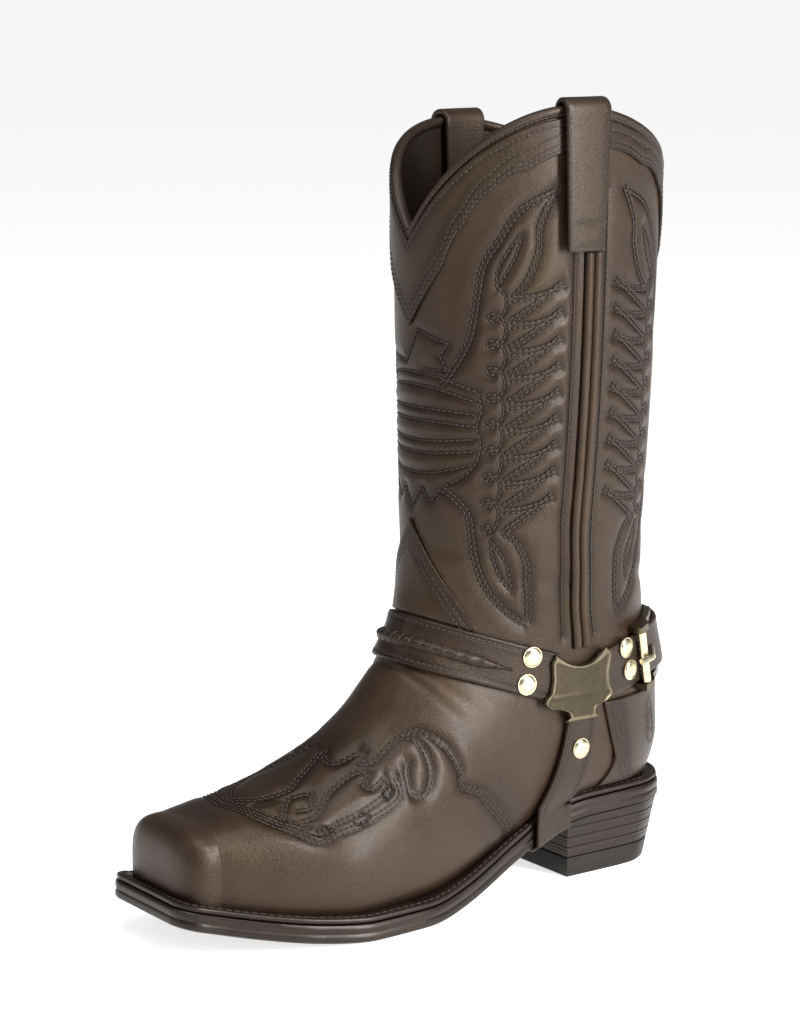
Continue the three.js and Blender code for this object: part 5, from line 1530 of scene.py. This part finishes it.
@dataclass
class Bottom:
    """The sole, welt and heel."""

    count: int = 420
    layer_height: float = 5.2
    layer_groove: float = 0.35
    layers: int = 4
    joint: float = 0.4

    # How far the outsole's rings stand out, and how high in shares of its thickness
    SOLE_EDGE = (
        (-1.2, 0.0), (0.2, 0.02), (0.9, 0.1), (1.0, 0.3), (0.7, 0.42),
        (0.35, 0.5), (0.7, 0.58), (0.9, 0.75), (0.6, 0.93), (0.0, 1.0),
    )
    # How far the welt's rings stand out, and how high above the outsole
    WELT_EDGE = ((-9.0, 0.5), (-1.0, 0.4), (-0.2, 0.9), (0.1, 1.8), (-0.2, 2.8), (-1.0, 3.4), (-9.0, 3.5))
    # Heights and insets of the rubber lift's rings
    LIFT_EDGE = ((0.0, 0.6), (0.5, 0.1), (1.0, 0.0), (9.4, 0.0), (9.9, 0.3))

    def ring(self, out: float, height: Callable[[np.ndarray], np.ndarray]) -> np.ndarray:
        """A loop of points round the sole, out from its edge, at heights by place."""
        loop = SOLE.loop(self.count, out)
        return np.column_stack([loop, height(np.clip(loop[:, 0], SOLE.back, SOLE.back + SOLE.length))])

    def tube(self, name: str, rings: list[np.ndarray], finish: Finish, nodes: Sequence[str]) -> None:
        """Closes stacked rings into a piece with flat ends.

        Args:
            name: the piece's name.
            rings: loops of points from one end to the other.
            finish: what it is made of.
            nodes: the solids it stands for.
        """
        half, narrow = [1, 0.5, 1], [1, 0.03, 1]
        first, last = rings[0], rings[-1]
        points = np.array([first * narrow, first * half, *rings, last * half, last * narrow])
        add_piece(name, points, loft(*points.shape[:2]), finish, nodes, None, 35)

    def sole(self) -> None:
        """Builds the outsole with a grooved, rounded edge."""
        rings = [
            self.ring(out, lambda x, up=up: SOLE.under(x) + up * SOLE.thickness) for out, up in self.SOLE_EDGE
        ]
        self.tube("sole_edge_skin", rings, Finish.SOLE, ("outsole",))

    def welt(self) -> None:
        """Builds the welt as a strip round the sole, with its stitches."""
        rings = [self.ring(out, lambda x, up=up: SOLE.top(x) + up) for out, up in self.WELT_EDGE]
        points = np.array(rings)
        faces = quads(len(rings), self.count, True, True)
        add_piece("welt_strip", points, faces, Finish.WELT, ("welt",), None, 40)
        sewing = Sewing(4.2, 3.4, 0.45)
        loop = self.ring(-2.6, lambda x: SOLE.top(x) + SOLE.welt)
        up = np.tile([0.0, 0.0, 1.0], (self.count + 1, 1))
        sewing.keep(np.concatenate([loop, loop[:1]]), up)
        sewing.stitches("welt_stitches", -0.1)

    def heel(self) -> None:
        """Builds the stacked heel and its rubber lift."""
        span = SOLE.heel_height - SOLE.thickness
        share = np.linspace(0, 1, 60)
        x = SOLE.heel_length * np.sin(QUARTER * share) ** 1.3
        x[0] = 0.02

        def layer(height: np.ndarray | float, z: float, inset: float) -> np.ndarray:
            drawn = SOLE.heel_taper * (1 - z / span)
            place = mix(drawn + inset, SOLE.heel_length - inset, x / SOLE.heel_length) + SOLE.back
            outer = np.maximum(SOLE.edge(x + SOLE.back, 1) - inset, 0)
            inner = np.maximum(SOLE.edge(x + SOLE.back, 2) - inset, 0)
            line_z = np.broadcast_to(height, place.shape)
            first = np.stack([place, outer, line_z], -1)
            return np.concatenate([first, np.stack([place, -inner, line_z], -1)[::-1]])

        def block(name: str, rings: list[np.ndarray], finish: Finish, node: str) -> None:
            count = len(rings[0])
            faces = quads(len(rings), count, False, True)
            for low in (0, (len(rings) - 1) * count):
                high = low + count - 1
                faces.extend([low + k, low + k + 1, high - 1 - k, high - k] for k in range(len(x) - 1))
            add_piece(name, np.array(rings), faces, finish, (node,), None, 35)

        start = SOLE.lift + self.joint
        levels = [(start, 0.3), (start + 0.4, 0.0)]
        for k in range(1, self.layers):
            z = start + self.layer_height * k
            levels += [(z - self.layer_groove, 0.0), (z, 0.28), (z + self.layer_groove, 0.0)]
        stack = [layer(z, z, inset) for z, inset in levels]
        stack.append(layer(SOLE.under(x + SOLE.back) - self.joint, span, 0.0))
        block("heel_stack_skin", stack, Finish.STACK, "heel_stack")
        lift = [layer(z, z, inset) for z, inset in self.LIFT_EDGE]
        block("heel_lift_skin", lift, Finish.RUBBER, "heel_lift")


class Studio:
    """The floor, the soft lights and the camera."""

    FOCAL = 2916.0
    HEIGHT = 1036.0
    SENSOR = 36.0
    TARGET = Vector((0.05, 0.0, 0.18))

    def camera(self) -> None:
        """Places the camera at the photograph's view."""
        data = bpy.data.cameras.new("camera")
        camera = bpy.data.objects.new("camera", data)
        bpy.context.scene.collection.objects.link(camera)
        data.sensor_width = self.SENSOR
        data.lens = self.SENSOR * self.FOCAL / self.HEIGHT
        camera.location = (0.9375, 1.129, 0.465)
        yaw, pitch, roll = (math.radians(angle) for angle in (233.9, -11.13, 0.21))
        way = Vector((math.cos(pitch) * math.cos(yaw), math.cos(pitch) * math.sin(yaw), math.sin(pitch)))
        camera.rotation_mode = "QUATERNION"
        camera.rotation_quaternion = way.to_track_quat("-Z", "Y") @ Quaternion((0, 0, 1), roll)
        bpy.context.scene.camera = camera

    def floor(self) -> None:
        """Makes the pale floor, wide enough to fill the view behind the boot."""
        bpy.ops.object.select_all(action="DESELECT")
        bpy.ops.mesh.primitive_plane_add(size=90, location=(0, 0, 0))
        floor = bpy.context.object
        floor.name = "studio_floor"
        paint = Paint("studio_floor")
        paint.set(Base_Color=(0.86, 0.86, 0.85), Roughness=0.7)
        paint.set(Emission_Color=(1.0, 1.0, 1.0), Emission_Strength=0.72)
        floor.data.materials.append(paint.material)

    def light(self, name: str, place: tuple, power: float, size: tuple[float, float]) -> None:
        """Adds a soft rectangular light that faces the boot."""
        data = bpy.data.lights.new(name, "AREA")
        data.shape = "RECTANGLE"
        data.size, data.size_y = size
        data.energy = power
        lamp = bpy.data.objects.new(name, data)
        lamp.location = place
        lamp.rotation_mode = "QUATERNION"
        lamp.rotation_quaternion = (self.TARGET - Vector(place)).to_track_quat("-Z", "Y")
        bpy.context.scene.collection.objects.link(lamp)

    def build(self) -> None:
        """Sets the whole studio up."""
        self.camera()
        self.floor()
        self.light("soft_left", (1.5, -0.35, 0.9), 4, (0.7, 1.6))
        self.light("soft_right", (-0.5, 1.5, 0.85), 60, (0.4, 1.5))
        self.light("soft_top", (0.3, 0.5, 1.9), 22, (1.2, 1.2))
        self.light("fill", (1.3, 1.6, 0.5), 2, (1.2, 0.9))
        world = bpy.data.worlds.new("studio")
        world.use_nodes = True
        world.node_tree.nodes["Background"].inputs["Color"].default_value = (1, 1, 1, 1)
        world.node_tree.nodes["Background"].inputs["Strength"].default_value = 0.22
        bpy.context.scene.world = world
        bpy.context.scene.view_settings.view_transform = "Standard"


def dress_kept_nodes() -> None:
    """Gives the solids that stay visible their finishes."""
    kept = {
        "insole": Finish.LINING,
        "buckle_frame": Finish.PLATE,
        "buckle_roller": Finish.BRASS,
        "buckle_prong": Finish.BRASS,
    }
    for node, finish in kept.items():
        dress(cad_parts[node], finish)


def main() -> None:
    """Builds the studio and every part of the boot in order."""
    logging.basicConfig(level=logging.INFO, format="%(message)s")
    Studio().build()
    shaft = Shaft()
    shaft.build(back=False)
    shaft.build(back=True)
    Foot().build()
    trim = Trim()
    trim.collar_band()
    trim.binding()
    trim.tongue()
    trim.counter()
    harness = Harness()
    for side in SIDES:
        trim.piping(side)
        trim.pull_strap(side)
        harness.plate(side)
    harness.front()
    harness.rear()
    harness.under()
    harness.rivets()
    bottom = Bottom()
    bottom.sole()
    bottom.welt()
    bottom.heel()
    dress_kept_nodes()


if __name__ == "__main__":
    main()
